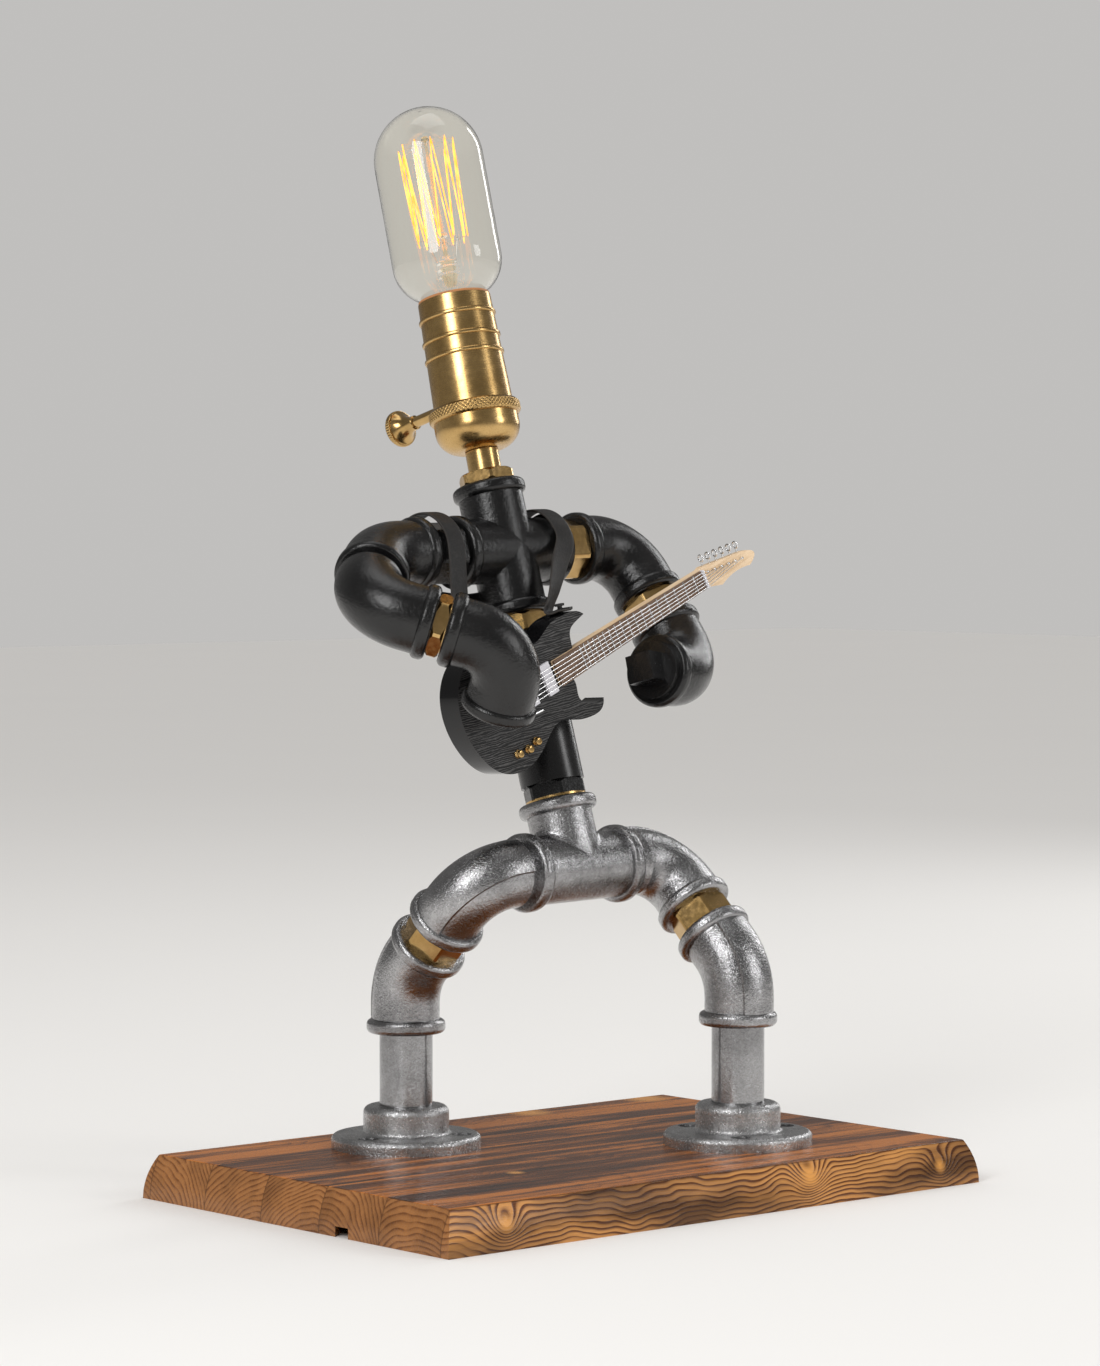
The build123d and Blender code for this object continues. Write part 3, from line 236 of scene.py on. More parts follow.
class Shade:
    """The nodes of a material or a world under construction, with short ways to add and link them."""

    def __init__(self, owner: Material | bpy.types.World, shader: str = "Principled BSDF") -> None:
        """Takes up the nodes that a new material or world comes with."""
        owner.use_nodes = True
        self.tree = owner.node_tree
        self.shader = self.tree.nodes[shader]

    def node(self, kind: str, inputs: dict | None = None, **settings) -> bpy.types.Node:
        """Adds a node, sets its properties, and sets or links its inputs.

        Args:
            kind: the node's type, without the word that every type begins with.
            inputs: values or output sockets by input name or number.
            settings: node properties.
        Returns:
            The node.
        """
        node = self.tree.nodes.new("ShaderNode" + kind)
        for key, value in settings.items():
            setattr(node, key, value)
        for key, value in (inputs or {}).items():
            self.feed(node.inputs[key], value)
        return node

    def feed(self, socket: Socket, value) -> None:
        """Links an output socket to an input, or sets the input's value, a colour as opaque."""
        if isinstance(value, Socket):
            self.tree.links.new(value, socket)
        elif socket.type == "RGBA":
            socket.default_value = (*value, 1.0)
        else:
            socket.default_value = value

    def set(self, **values) -> None:
        """Sets or links the shader's inputs, with underscores for the spaces in their names."""
        for key, value in values.items():
            self.feed(self.shader.inputs[key.replace("_", " ")], value)

    def place(self, offset: Triple = (0.0, 0.0, 0.0), scale: Triple = (1.0, 1.0, 1.0)) -> Socket:
        """Object coordinates moved and scaled."""
        here = self.node("TexCoord").outputs["Object"]
        return self.node("Mapping", {"Vector": here, "Location": offset, "Scale": scale}).outputs["Vector"]

    def about(self, seat: Seat) -> Socket:
        """Object coordinates from a seat's origin."""
        return self.place(offset=tuple(-c for c in seat.origin))

    def split(self, vector) -> bpy.types.NodeOutputs:
        """The three parts of a vector."""
        return self.node("SeparateXYZ", {"Vector": vector}).outputs

    def dot(self, vector, axis: Array) -> Socket:
        """How far a vector reaches along a direction."""
        return self.node("VectorMath", {0: vector, 1: tuple(axis)}, operation="DOT_PRODUCT").outputs["Value"]

    def normal(self) -> Socket:
        """The way that the surface faces."""
        return self.node("NewGeometry").outputs["Normal"]

    def noise(self, vector, scale: float, detail: float = 3.0, rough: float = 0.55) -> Socket:
        """A soft noise from 0 to 1."""
        return self.node("TexNoise", {"Vector": vector, "Scale": scale, "Detail": detail,
                                      "Roughness": rough}).outputs["Fac"]

    def math(self, operation: str, a, b=0.0, c=0.0) -> Socket:
        """One sum on numbers or sockets."""
        return self.node("Math", {0: a, 1: b, 2: c}, operation=operation).outputs[0]

    def span(self, value, low: float, high: float, to_low=0.0, to_high=1.0) -> Socket:
        """A value carried from one range to another and held inside it."""
        return self.node("MapRange", {"Value": value, "From Min": low, "From Max": high,
                                      "To Min": to_low, "To Max": to_high}).outputs["Result"]

    def swing(self, noise, low: float, high: float) -> Socket:
        """The middle part of a noise, where most of it lies, carried to another range."""
        return self.span(noise, 0.3, 0.7, low, high)

    def mix(self, share, a, b, blend: str = "MIX") -> Socket:
        """Two colours mixed by a share."""
        return self.node("Mix", {0: share, 6: a, 7: b}, data_type="RGBA", blend_type=blend).outputs[2]

    def ramp(self, value, stops: tuple) -> Socket:
        """A colour ramp through (place, colour) stops."""
        node = self.node("ValToRGB", {"Fac": value})
        elements = node.color_ramp.elements
        while len(elements) < len(stops):
            elements.new(0.5)
        for element, (place, colour) in zip(elements, stops):
            element.position = place
            element.color = (*colour, 1.0)
        return node.outputs["Color"]

    def bump(self, height, distance: float, strength: float, under: Socket | None = None) -> Socket:
        """A surface normal from a height, over another normal where one is given."""
        inputs = {"Height": height, "Distance": distance, "Strength": strength}
        if under is not None:
            inputs["Normal"] = under
        return self.node("Bump", inputs).outputs["Normal"]


@dataclass(frozen=True)
class Finish:
    """A material described by its looks."""

    name: str

    def draw(self, shade: Shade) -> None:
        """Adds the nodes that give the looks."""
        raise NotImplementedError

    def material(self) -> Material:
        """The finished node material."""
        material = bpy.data.materials.new(self.name)
        self.draw(Shade(material))
        return material


@dataclass(frozen=True)
class CastMetal(Finish):
    """A cast or drawn metal: colour range, roughness range and the grain of its skin."""

    dark: Triple
    light: Triple
    smooth: float
    rough: float
    grain: float
    depth: float
    metallic: float = 1.0
    sparkle: float = 0.0
    coat: float = 0.0
    coat_rough: float = 0.22
    patch_scale: float = 60.0
    crystal_scale: float = 1500.0
    crystal_gloss: float = 0.16
    crystal_depth: float = 0.00008

    def draw(self, shade: Shade) -> None:
        """Fine skin grain over slow patches, with a crystal sparkle where the metal has one."""
        here = shade.place()
        patches = shade.noise(here, self.patch_scale, 4.0)
        skin = shade.noise(here, self.grain, 4.0, 0.65)
        colour = shade.mix(shade.span(patches, 0.35, 0.65), self.dark, self.light)
        rough = shade.swing(skin, self.smooth, self.rough)
        normal = shade.bump(skin, self.depth, 0.6)
        if self.sparkle:
            cells = shade.node("TexVoronoi", {"Vector": here, "Scale": self.crystal_scale})
            crystal = shade.node("SeparateColor", {"Color": cells.outputs["Color"]}).outputs["Red"]
            shine = shade.span(crystal, 0.0, 1.0, 1.0 - self.sparkle, 1.0 + self.sparkle)
            tint = shade.node("CombineColor", {"Red": shine, "Green": shine, "Blue": shine})
            colour = shade.mix(1.0, colour, tint.outputs["Color"], "MULTIPLY")
            rough = shade.math("MULTIPLY_ADD", crystal, -self.crystal_gloss, rough)
            normal = shade.bump(crystal, self.crystal_depth, 0.5, normal)
        shade.set(Base_Color=colour, Metallic=self.metallic, Roughness=rough, Normal=normal)
        if self.coat:
            shade.set(Coat_Weight=self.coat, Coat_Roughness=self.coat_rough)


@dataclass(frozen=True)
class TurnedBrass(Finish):
    """Brass turned on a lathe: fine lines round one axis under slow tarnish."""

    seat: Seat
    light: Triple = (0.66, 0.44, 0.185)
    dark: Triple = (0.44, 0.27, 0.095)
    line_scale: float = 5200.0
    line_depth: float = 0.000004
    tarnish_scale: float = 55.0
    smear_scale: float = 380.0

    def draw(self, shade: Shade) -> None:
        """Lines by the distance along the axis, and tarnish by a slow noise."""
        here = shade.about(self.seat)
        run = shade.dot(here, self.seat.turn()[2])
        lines = shade.node("TexNoise", {"W": run, "Scale": self.line_scale, "Detail": 3.0, "Roughness": 0.7},
                           noise_dimensions="1D").outputs["Fac"]
        tarnish = shade.noise(here, self.tarnish_scale, 5.0, 0.65)
        smear = shade.noise(here, self.smear_scale)
        share = shade.math("MULTIPLY_ADD", lines, 0.25, shade.span(tarnish, 0.38, 0.7, 0.0, 0.75))
        rough = shade.math("ADD", shade.swing(lines, 0.18, 0.29), shade.span(smear, 0.4, 0.7, 0.0, 0.06))
        shade.set(Base_Color=shade.mix(share, self.light, self.dark), Metallic=1.0, Roughness=rough,
                  Normal=shade.bump(lines, self.line_depth, 0.35))


@dataclass(frozen=True)
class RimmedBlack(Finish):
    """Black paint that stops at a bare brass rim, by the distance along an axis in metres."""

    seat: Seat
    rim: float = -0.10315
    blend: float = 0.0001
    grain: float = 900.0
    depth: float = 0.0002
    paint: Triple = (0.006, 0.006, 0.0062)
    brass: Triple = (0.64, 0.42, 0.17)

    def draw(self, shade: Shade) -> None:
        """Paint above the rim's edge and metal below it, over one grainy skin."""
        here = shade.about(self.seat)
        bare = shade.span(shade.dot(here, self.seat.turn()[2]), self.rim, self.rim - self.blend)
        skin = shade.noise(here, self.grain)
        shade.set(Base_Color=shade.mix(bare, self.paint, self.brass), Metallic=bare,
                  Roughness=shade.swing(skin, 0.2, 0.34), Normal=shade.bump(skin, self.depth, 0.5))


@dataclass(frozen=True)
class PlainSkin(Finish):
    """A simple finish with a fine mottled skin, for small parts."""

    colour: Triple
    mottled: Triple
    rough: float
    metallic: float = 0.0
    grain: float = 900.0
    depth: float = 0.00005

    def draw(self, shade: Shade) -> None:
        """Two close colours mixed by a fine noise that also sets the relief."""
        skin = shade.noise(shade.place(), self.grain)
        shade.set(Base_Color=shade.mix(skin, self.colour, self.mottled), Metallic=self.metallic,
                  Roughness=shade.swing(skin, self.rough * 0.85, self.rough * 1.2),
                  Normal=shade.bump(skin, self.depth, 0.5))


@dataclass(frozen=True)
class ClearGlass(Finish):
    """Thin clear glass with a tint and slight waviness; the bulb's faint warm tint is its own, the stem's amber
    tint is a painted glow of the hot wire's light.
    """

    tint: Triple
    rough: float = 0.0
    ior: float = 1.45
    ripple_scale: float = 70.0
    ripple_depth: float = 0.0004
    streak_scale: float = 400.0

    def draw(self, shade: Shade) -> None:
        """Full transmission with a slow ripple of the surface and pale upright streaks."""
        ripple = shade.noise(shade.place(), self.ripple_scale, 2.0)
        streak = shade.noise(shade.place(scale=(1.0, 1.0, 0.1)), self.streak_scale, 2.0)
        pale = tuple(min(1.0, c * 1.04) for c in self.tint)
        shade.set(Base_Color=shade.mix(streak, self.tint, pale), Transmission_Weight=1.0, IOR=self.ior,
                  Roughness=self.rough, Normal=shade.bump(ripple, self.ripple_depth, 0.12))


@dataclass(frozen=True)
class GlowWire(Finish):
    """A hot lamp wire, brighter where the coil runs hotter."""

    cool: Triple = (1.0, 0.31, 0.025)
    hot: Triple = (1.0, 0.52, 0.11)
    heat_scale: float = 160.0
    strength: float = 1.9

    def draw(self, shade: Shade) -> None:
        """Emission whose colour wanders between a cooler and a hotter orange."""
        heat = shade.noise(shade.place(), self.heat_scale, 2.0)
        glow = shade.mix(shade.span(heat, 0.35, 0.65), self.cool, self.hot)
        shade.set(Base_Color=glow, Roughness=0.5, Emission_Color=glow, Emission_Strength=self.strength)


@dataclass(frozen=True)
class ScorchedPine(Finish):
    """Edge-glued pine staves, scorched, brushed and varnished, in metres."""

    stave_width: float = 0.036
    stave_slide: float = 1.7
    board_half: float = 0.09
    pith_side: float = 0.022
    pith_depth: tuple[float, float] = (-0.030, -0.004)
    ring_gap: float = 0.0021
    ring_wander: float = 0.026
    ring_power: float = 2.6
    relief: float = 0.0003
    specular: float = 0.34
    glow: Triple = (0.70, 0.32, 0.075)
    gold: Triple = (0.60, 0.275, 0.078)
    honey: Triple = (0.37, 0.16, 0.052)
    orange: Triple = (0.52, 0.172, 0.028)
    brown: Triple = (0.115, 0.036, 0.0095)
    char: Triple = (0.020, 0.0075, 0.003)
    knots: tuple = (
        (0.0531, 0.0840, 0.0175, 0.015), (0.1200, 0.0850, 0.0175, 0.017), (-0.0600, -0.0390, 0.0175, 0.006),
        (-0.1109, -0.0925, 0.0101, 0.006), (0.0460, -0.0925, 0.0121, 0.007),
        (0.1181, -0.0925, 0.0085, 0.005), (0.0900, 0.0930, 0.0090, 0.006), (-0.0700, 0.0930, 0.0100, 0.007),
    )

    def draw(self, shade: Shade) -> None:
        """Growth rings as distance from each stave's pith, bent round knots, then scorched by face."""
        here = shade.place()
        part = shade.split(here)
        shelf = shade.math("DIVIDE", shade.math("ADD", part["Y"], self.board_half), self.stave_width)
        stave = shade.math("FLOOR", shelf)
        luck = shade.node("TexWhiteNoise", {"W": stave}, noise_dimensions="1D")
        chance = shade.node("SeparateColor", {"Color": luck.outputs["Color"]}).outputs
        middle = shade.math("SUBTRACT", shade.math("FRACT", shelf), 0.5)
        side = shade.span(chance["Red"], 0.0, 1.0, -self.pith_side, self.pith_side)
        across = shade.math("ADD", shade.math("MULTIPLY", middle, self.stave_width), side)
        depth = shade.math("SUBTRACT", part["Z"], shade.span(chance["Green"], 0.0, 1.0, *self.pith_depth))
        along = shade.math("MULTIPLY_ADD", stave, self.stave_slide, part["X"])
        slide = shade.node("CombineXYZ", {"X": along, "Y": across, "Z": depth}).outputs["Vector"]
        late, heart = self.rings(shade, here, slide, across, depth)
        fibre = self.grain(shade, slide, 0.035, 1400.0, 0.55)
        colour = self.colour(shade, late, slide, chance["Blue"])
        colour = shade.mix(shade.span(fibre, 0.35, 0.7, 0.0, 0.3), colour, self.brown)
        colour = shade.mix(shade.math("MULTIPLY", heart, 0.85), colour, self.glow)
        joint = shade.span(shade.math("ABSOLUTE", middle), 0.488, 0.5, 0.0, 0.6)
        height = shade.math("MULTIPLY_ADD", fibre, 0.25, shade.math("MULTIPLY", late, 0.8))
        shade.set(Base_Color=shade.mix(joint, colour, self.char), Roughness=shade.swing(fibre, 0.19, 0.34),
                  Specular_IOR_Level=self.specular, Normal=shade.bump(height, self.relief, 0.25))

    def grain(self, shade: Shade, slide: Socket, along: float, scale: float, rough: float = 0.6,
              across: float = 1.0) -> Socket:
        """A noise drawn out along the staves by shrinking its coordinates."""
        drawn = shade.node("Mapping", {"Vector": slide, "Scale": (along, across, across)})
        return shade.noise(drawn.outputs["Vector"], scale, 3.0, rough)

    def rings(self, shade: Shade, here: Socket, slide: Socket, across: Socket,
              depth: Socket) -> tuple[Socket, Socket]:
        """The dark late part of each ring, and the hearts of the knots.

        Args:
            shade: the material under construction.
            here: the place on the board.
            slide: the place on its stave, each stave moved along by its own length.
            across: distance from the pith across the stave.
            depth: distance from the pith up and down.
        Returns:
            The late wood and the knot hearts, from 0 to 1.
        """
        wander = self.grain(shade, slide, 0.3, 52.0, 0.5, across=0.32)
        radius = shade.math("SQRT", shade.math("ADD", shade.math("MULTIPLY", across, across),
                                               shade.math("MULTIPLY", depth, depth)))
        radius = shade.math("MULTIPLY_ADD", wander, self.ring_wander, radius)
        hearts = 0.0
        for *place, size in self.knots:
            reach = shade.node("VectorMath", {0: here, 1: place}, operation="DISTANCE").outputs["Value"]
            away = shade.math("POWER", shade.math("DIVIDE", reach, size * 1.2), 2.0)
            radius = shade.math("MULTIPLY_ADD", shade.math("POWER", 0.37, away), size * 1.7, radius)
            hearts = shade.math("MAXIMUM", hearts, shade.span(reach, size * 0.2, size * 0.75, 1.0, 0.0))
        ring = shade.math("FRACT", shade.math("DIVIDE", radius, self.ring_gap))
        late = shade.math("MULTIPLY", shade.math("POWER", ring, self.ring_power),
                          shade.span(ring, 0.88, 1.0, 1.0, 0.0))
        patchy = shade.span(self.grain(shade, slide, 0.14, 210.0), 0.32, 0.62, 0.35, 1.25)
        return shade.math("MULTIPLY", late, patchy), hearts

    def colour(self, shade: Shade, late: Socket, slide: Socket, luck: Socket) -> Socket:
        """Three colours for the top, the long sides and the ends, joined by the way that a face looks.

        Args:
            shade: the material under construction.
            late: the late wood.
            slide: the place on its stave.
            luck: a number from 0 to 1 for each stave.
        Returns:
            The colour.
        """
        streak = self.grain(shade, slide, 0.06, 95.0)
        patch = self.grain(shade, slide, 0.3, 40.0)
        way = shade.split(shade.normal())
        top = shade.span(way["Z"], 0.6, 0.85)
        end = shade.span(shade.math("ABSOLUTE", way["X"]), 0.55, 0.8)
        lean = shade.math("ADD", shade.span(luck, 0.0, 1.0, -0.05, 0.05), streak)
        lean = shade.math("MULTIPLY_ADD", late, 0.07, lean)
        top_colour = shade.ramp(lean, ((0.44, self.orange), (0.57, self.brown), (0.71, self.char)))
        side_colour = shade.mix(shade.span(late, 0.04, 0.42), self.gold, self.brown)
        side_colour = shade.mix(shade.span(patch, 0.4, 0.62, 0.0, 0.82), side_colour, self.char)
        end_colour = shade.mix(shade.span(late, 0.05, 0.6, 0.0, 0.8), self.honey, self.brown)
        end_colour = shade.mix(shade.span(patch, 0.45, 0.7, 0.0, 0.45), end_colour, self.char)
        return shade.mix(end, shade.mix(top, side_colour, top_colour), end_colour)


@dataclass(frozen=True)
class GrainedBlack(Finish):
    """Black lacquer over open grain that runs slantwise along the neck, glossy on the sides."""

    seat: Seat
    pitch: float = 0.0009
    slant: float = math.radians(13.0)
    drawn_out: float = 0.2
    distortion: float = 11.0
    speckle_scale: float = 1500.0
    depth: float = 0.0002
    specular: float = 0.32
    lift: Triple = (0.085, 0.083, 0.082)
    ground: Triple = (0.004, 0.004, 0.0045)

    def draw(self, shade: Shade) -> None:
        """Fine waving lines across the guitar's width, broken up along its length."""
        x, y, z = self.seat.turn()
        here = shade.about(self.seat)
        along = shade.dot(here, math.cos(self.slant) * x - math.sin(self.slant) * y)
        across = shade.dot(here, math.cos(self.slant) * y + math.sin(self.slant) * x)
        flat = shade.node("CombineXYZ", {"X": shade.math("MULTIPLY", along, self.drawn_out),
                                         "Y": across}).outputs["Vector"]
        bands = shade.node("TexWave", {"Vector": flat, "Scale": math.pi / (10 * self.pitch),
                                       "Distortion": self.distortion, "Detail": 4.0, "Detail Scale": 1.1},
                           wave_type="BANDS", bands_direction="Y").outputs["Fac"]
        speckle = shade.noise(flat, self.speckle_scale, 3.0, 0.6)
        broken = shade.span(speckle, 0.3, 0.62, 0.25, 1.0)
        ridge = shade.math("MULTIPLY", shade.span(bands, 0.4, 0.95), broken)
        front = shade.span(shade.math("ABSOLUTE", shade.dot(shade.normal(), z)), 0.7, 0.95)
        ridge = shade.math("MULTIPLY", ridge, front)
        shade.set(Base_Color=shade.mix(ridge, self.ground, self.lift), Specular_IOR_Level=self.specular,
                  Roughness=shade.span(front, 0.0, 1.0, 0.14, 0.36),
                  Normal=shade.bump(ridge, self.depth, 0.5))


@dataclass(frozen=True)
class Leather(Finish):
    """Dyed leather with a pebbled skin, paler along its cut edges."""

    dye: Triple = (0.011, 0.010, 0.0095)
    worn: Triple = (0.034, 0.028, 0.024)
    pebble_scale: float = 1300.0
    pebble_depth: float = 0.0001
    wear_scale: float = 220.0

    def draw(self, shade: Shade) -> None:
        """Pebbles from a cell pattern, and wear by the strap's own width coordinate."""
        here = shade.place()
        pebble = shade.node("TexVoronoi", {"Vector": here, "Scale": self.pebble_scale}).outputs["Distance"]
        wear = shade.span(shade.noise(here, self.wear_scale, 4.0), 0.5, 0.8, 0.0, 0.35)
        width = shade.split(shade.node("TexCoord").outputs["UV"])["Y"]
        edge = shade.span(shade.math("ABSOLUTE", shade.math("SUBTRACT", width, 0.5)), 0.42, 0.5)
        share = shade.math("MAXIMUM", shade.math("MULTIPLY", edge, 0.8), wear)
        shade.set(Base_Color=shade.mix(share, self.dye, self.worn),
                  Roughness=shade.span(pebble, 0.0, 0.6, 0.42, 0.62),
                  Normal=shade.bump(pebble, self.pebble_depth, 0.4))


@dataclass(frozen=True)
class PaleWood(Finish):
    """Clear-varnished wood with a fine straight grain along the neck."""

    seat: Seat
    light: Triple = (0.83, 0.63, 0.42)
    dark: Triple = (0.64, 0.44, 0.25)
    squeeze: float = 0.93
    grain: float = 1100.0
    depth: float = 0.00005

    def draw(self, shade: Shade) -> None:
        """Streaks stretched along the neck's direction."""
        here = shade.place()
        neck = tuple(unit(self.seat.x_dir))
        back = shade.math("MULTIPLY", shade.dot(here, neck), -self.squeeze)
        shift = shade.node("VectorMath", {0: neck, "Scale": back}, operation="SCALE").outputs["Vector"]
        squeezed = shade.node("VectorMath", {0: here, 1: shift}, operation="ADD").outputs["Vector"]
        grain = shade.noise(squeezed, self.grain)
        shade.set(Base_Color=shade.mix(shade.span(grain, 0.38, 0.7), self.light, self.dark),
                  Roughness=shade.swing(grain, 0.28, 0.42), Normal=shade.bump(grain, self.depth, 0.4))


# One finish named after each of the record's slots, then those of single pieces
FINISHES: dict[str, Finish] = {
    "board_wood": ScorchedPine("scorched_pine"),
    "galvanised_iron": CastMetal(
        "galvanised_iron", (0.29, 0.287, 0.291), (0.48, 0.478, 0.484), smooth=0.17, rough=0.33,
        grain=820.0, depth=0.00045, sparkle=0.14),
    "pipe_steel": CastMetal(
        "galvanised_pipe", (0.25, 0.248, 0.252), (0.38, 0.379, 0.384), smooth=0.18, rough=0.27,
        grain=900.0, depth=0.00007, sparkle=0.07),
    "black_iron": CastMetal(
        "black_iron", (0.0035, 0.0035, 0.0038), (0.0075, 0.0073, 0.0073), smooth=0.14, rough=0.28,
        grain=700.0, depth=0.0004, metallic=0.0, coat=0.12),
    "brass": CastMetal(
        "satin_brass", (0.46, 0.29, 0.105), (0.64, 0.425, 0.18), smooth=0.14, rough=0.26,
        grain=420.0, depth=0.00001),
    "dark_steel": PlainSkin("dark_steel", (0.03, 0.03, 0.032), (0.06, 0.058, 0.056), rough=0.4, metallic=0.7),
    "bulb_glass": ClearGlass("bulb_glass", (0.992, 0.966, 0.915)),
    "filament_wire": GlowWire("glowing_wire"),
    "insulator": PlainSkin("glazed_china", (0.80, 0.77, 0.71), (0.86, 0.83, 0.77), rough=0.25),
    "fibre": PlainSkin("fibre_liner", (0.42, 0.17, 0.06), (0.52, 0.23, 0.08), rough=0.6),
    "guitar_black": GrainedBlack("grained_black", GUITAR),
    "maple": PaleWood("maple", GUITAR),
    "fret_wood": PaleWood("fingerboard", GUITAR, (0.20, 0.12, 0.075), (0.11, 0.062, 0.036)),
    "bright_steel": PlainSkin(
        "bright_steel", (0.78, 0.78, 0.79), (0.88, 0.88, 0.88), rough=0.2, metallic=1.0),
    "pale_plastic": PlainSkin("pale_plastic", (0.66, 0.65, 0.70), (0.74, 0.73, 0.77), rough=0.3),
    "strap_leather": Leather("strap_leather"),
    "wire_rubber": PlainSkin("wire_rubber", (0.015, 0.015, 0.015), (0.03, 0.03, 0.03), rough=0.6),
    # A lighter copy of the galvanised finish: painted light, standing in for the light that the flanges' level
    # tops catch
    "flange": CastMetal(
        "galvanised_flange_painted_light", (0.42, 0.417, 0.42), (0.64, 0.638, 0.645), smooth=0.32, rough=0.48,
        grain=820.0, depth=0.0006, sparkle=0.2),
    "sleeve": CastMetal(
        "black_sleeve", (0.0045, 0.0045, 0.0048), (0.0065, 0.0063, 0.0063), smooth=0.24, rough=0.31,
        grain=300.0, depth=0.00002, metallic=0.0, coat=0.12),
    "rimmed": RimmedBlack("rimmed_black", CHEST),
    "turned": TurnedBrass("turned_brass", HEAD),
    # The stem's amber tint is painted light: a glow of the hot wire, painted into the glass's colour
    "stem_glass_painted_glow": ClearGlass("stem_glass_painted_glow", (1.0, 0.88, 0.68), rough=0.04),
}

# Nodes whose finish isn't the one named after their slot
OWN_FINISH: dict[str, str] = {
    "holder_cap": "turned", "holder_shell": "turned", "neck_nipple": "turned", "left_flange": "flange",
    "right_flange": "flange", "spine_sleeve": "sleeve", "waist_nipple": "rimmed",
    "guitar_strap_pins": "dark_steel",
}


@dataclass
class Assembly:
    """A sub-assembly of the lamp, with the materials for its pieces."""

    materials: dict[str, Material]

    def settle(self, piece: Piece, body: Body, slot: str, *nodes: str, finish: str = "") -> None:
        """Gives a new piece the material of its finish or slot, puts it on its body and hides the nodes that it
        stands for.

        Args:
            piece: the new object.
            body: the body that it rides on.
            slot: the record's material slot.
            nodes: CAD nodes that it replaces.
            finish: the finish, where it isn't the one named after the slot.
        """
        piece.data.materials.append(self.materials[finish or slot])
        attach(piece, body.value)
        if nodes:
            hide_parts(*nodes)
        log.info("%s: %d faces on %s", piece.name, len(piece.data.polygons), body.value)


@dataclass
class Fittings(Assembly):
    """The CAD nodes that keep their own shape and only take a finish."""

    def dress(self) -> None:
        """Gives every CAD node its own finish or that of its slot."""
        for part in frame["record"]["subparts"]:
            name = part["node"]
            materials = frame["nodes"][name].data.materials
            materials.clear()
            materials.append(self.materials[OWN_FINISH.get(name, part["material_slot"])])
        log.info("finishes on %d nodes", len(frame["nodes"]))


@dataclass
class Lampholder(Assembly):
    """The knurled ring and the switch key's toothed knob, in millimetres along their own lines."""

    tooth_steps: int = 8
    ring_base: float = 27.7
    ring_height: float = 5.2
    ring_radius: float = 18.75
    ring_bore: float = 16.5
    ring_edge: float = 0.7
    ring_knurls: int = 64
    ring_knurl_depth: float = 0.45
    knob_start: float = 35.5
    knob_length: float = 11.0
    knob_radius: float = 7.2
    knob_waist: float = 3.0
    knob_curve: float = 2.6
    knob_rim: float = 2.4
    knob_rim_swell: float = 0.25
    knob_dish: float = 1.3
    knob_dish_share: float = 0.94
    knob_teeth: int = 44
    knob_tooth_depth: float = 0.28

    def build_ring(self) -> None:
        """The ring: a turned section whose outer face carries two crossing sets of ridges.

        The height at (turn, rise) is the lower of two triangle waves that climb left and right.
        """
        turn, rise = circle(self.ring_knurls * self.tooth_steps), np.linspace(0, 1, 33)
        edge, height = self.ring_edge, self.ring_height
        corner, face = self.ring_radius - edge, height - 2 * edge
        section_r = np.concatenate([[self.ring_bore, corner], np.full(len(rise), self.ring_radius),
                                    [corner, self.ring_bore]])
        section_z = np.concatenate([[0, 0], edge + rise * face, [height, height]])
        turns = turn[:, None] * self.ring_knurls / (2 * np.pi)
        climb = rise * face * self.ring_knurls / (2 * np.pi * self.ring_radius)
        knurl = np.minimum(zigzag(turns + climb), zigzag(turns - climb)) * self.ring_knurl_depth
        fade = np.clip(18 * rise * (1 - rise), 0, 1)
        radius = np.tile(section_r, (len(turn), 1))
        radius[:, 2:-2] += knurl * fade - self.ring_knurl_depth / 2
        points = turned(turn, radius, section_z + self.ring_base)
        piece = mesh_piece("knurled_ring", HEAD.place(points), grid_quads(points, True, True))
        self.settle(piece, Body.LAMPHOLDER, "brass", "holder_ring", finish="turned")

    def build_knob(self) -> None:
        """The key's knob: a trumpet curve that flares to a toothed rim with a dished end."""
        turn = circle(self.knob_teeth * self.tooth_steps)
        flare, rim, dish = np.linspace(0, 1, 18), np.linspace(0, 1, 7), np.linspace(1, 0, 9)[1:]
        neck = self.knob_length - self.knob_rim
        trumpet_r = self.knob_waist + (self.knob_radius - self.knob_waist) * flare ** self.knob_curve
        rim_r = self.knob_radius + self.knob_rim_swell * np.sin(np.pi * rim)
        dish_r = self.knob_radius * dish * self.knob_dish_share + TIP
        dish_z = self.knob_length - self.knob_dish * (1 - dish ** 2)
        section_r = np.concatenate([[TIP], trumpet_r, rim_r, dish_r])
        section_z = np.concatenate([[0.0], neck * flare, neck + self.knob_rim * rim, dish_z])
        toothed = np.concatenate([np.zeros(1 + len(flare)), np.ones(len(rim)), np.zeros(len(dish))])
        teeth = zigzag(turn * self.knob_teeth / (2 * np.pi)) * self.knob_tooth_depth
        points = turned(turn, section_r + teeth[:, None] * toothed, section_z + self.knob_start)
        piece = mesh_piece("key_knob", KEY.place(points), grid_quads(points, True, False))
        self.settle(piece, Body.SWITCH_KEY, "brass", "switch_key_knob")


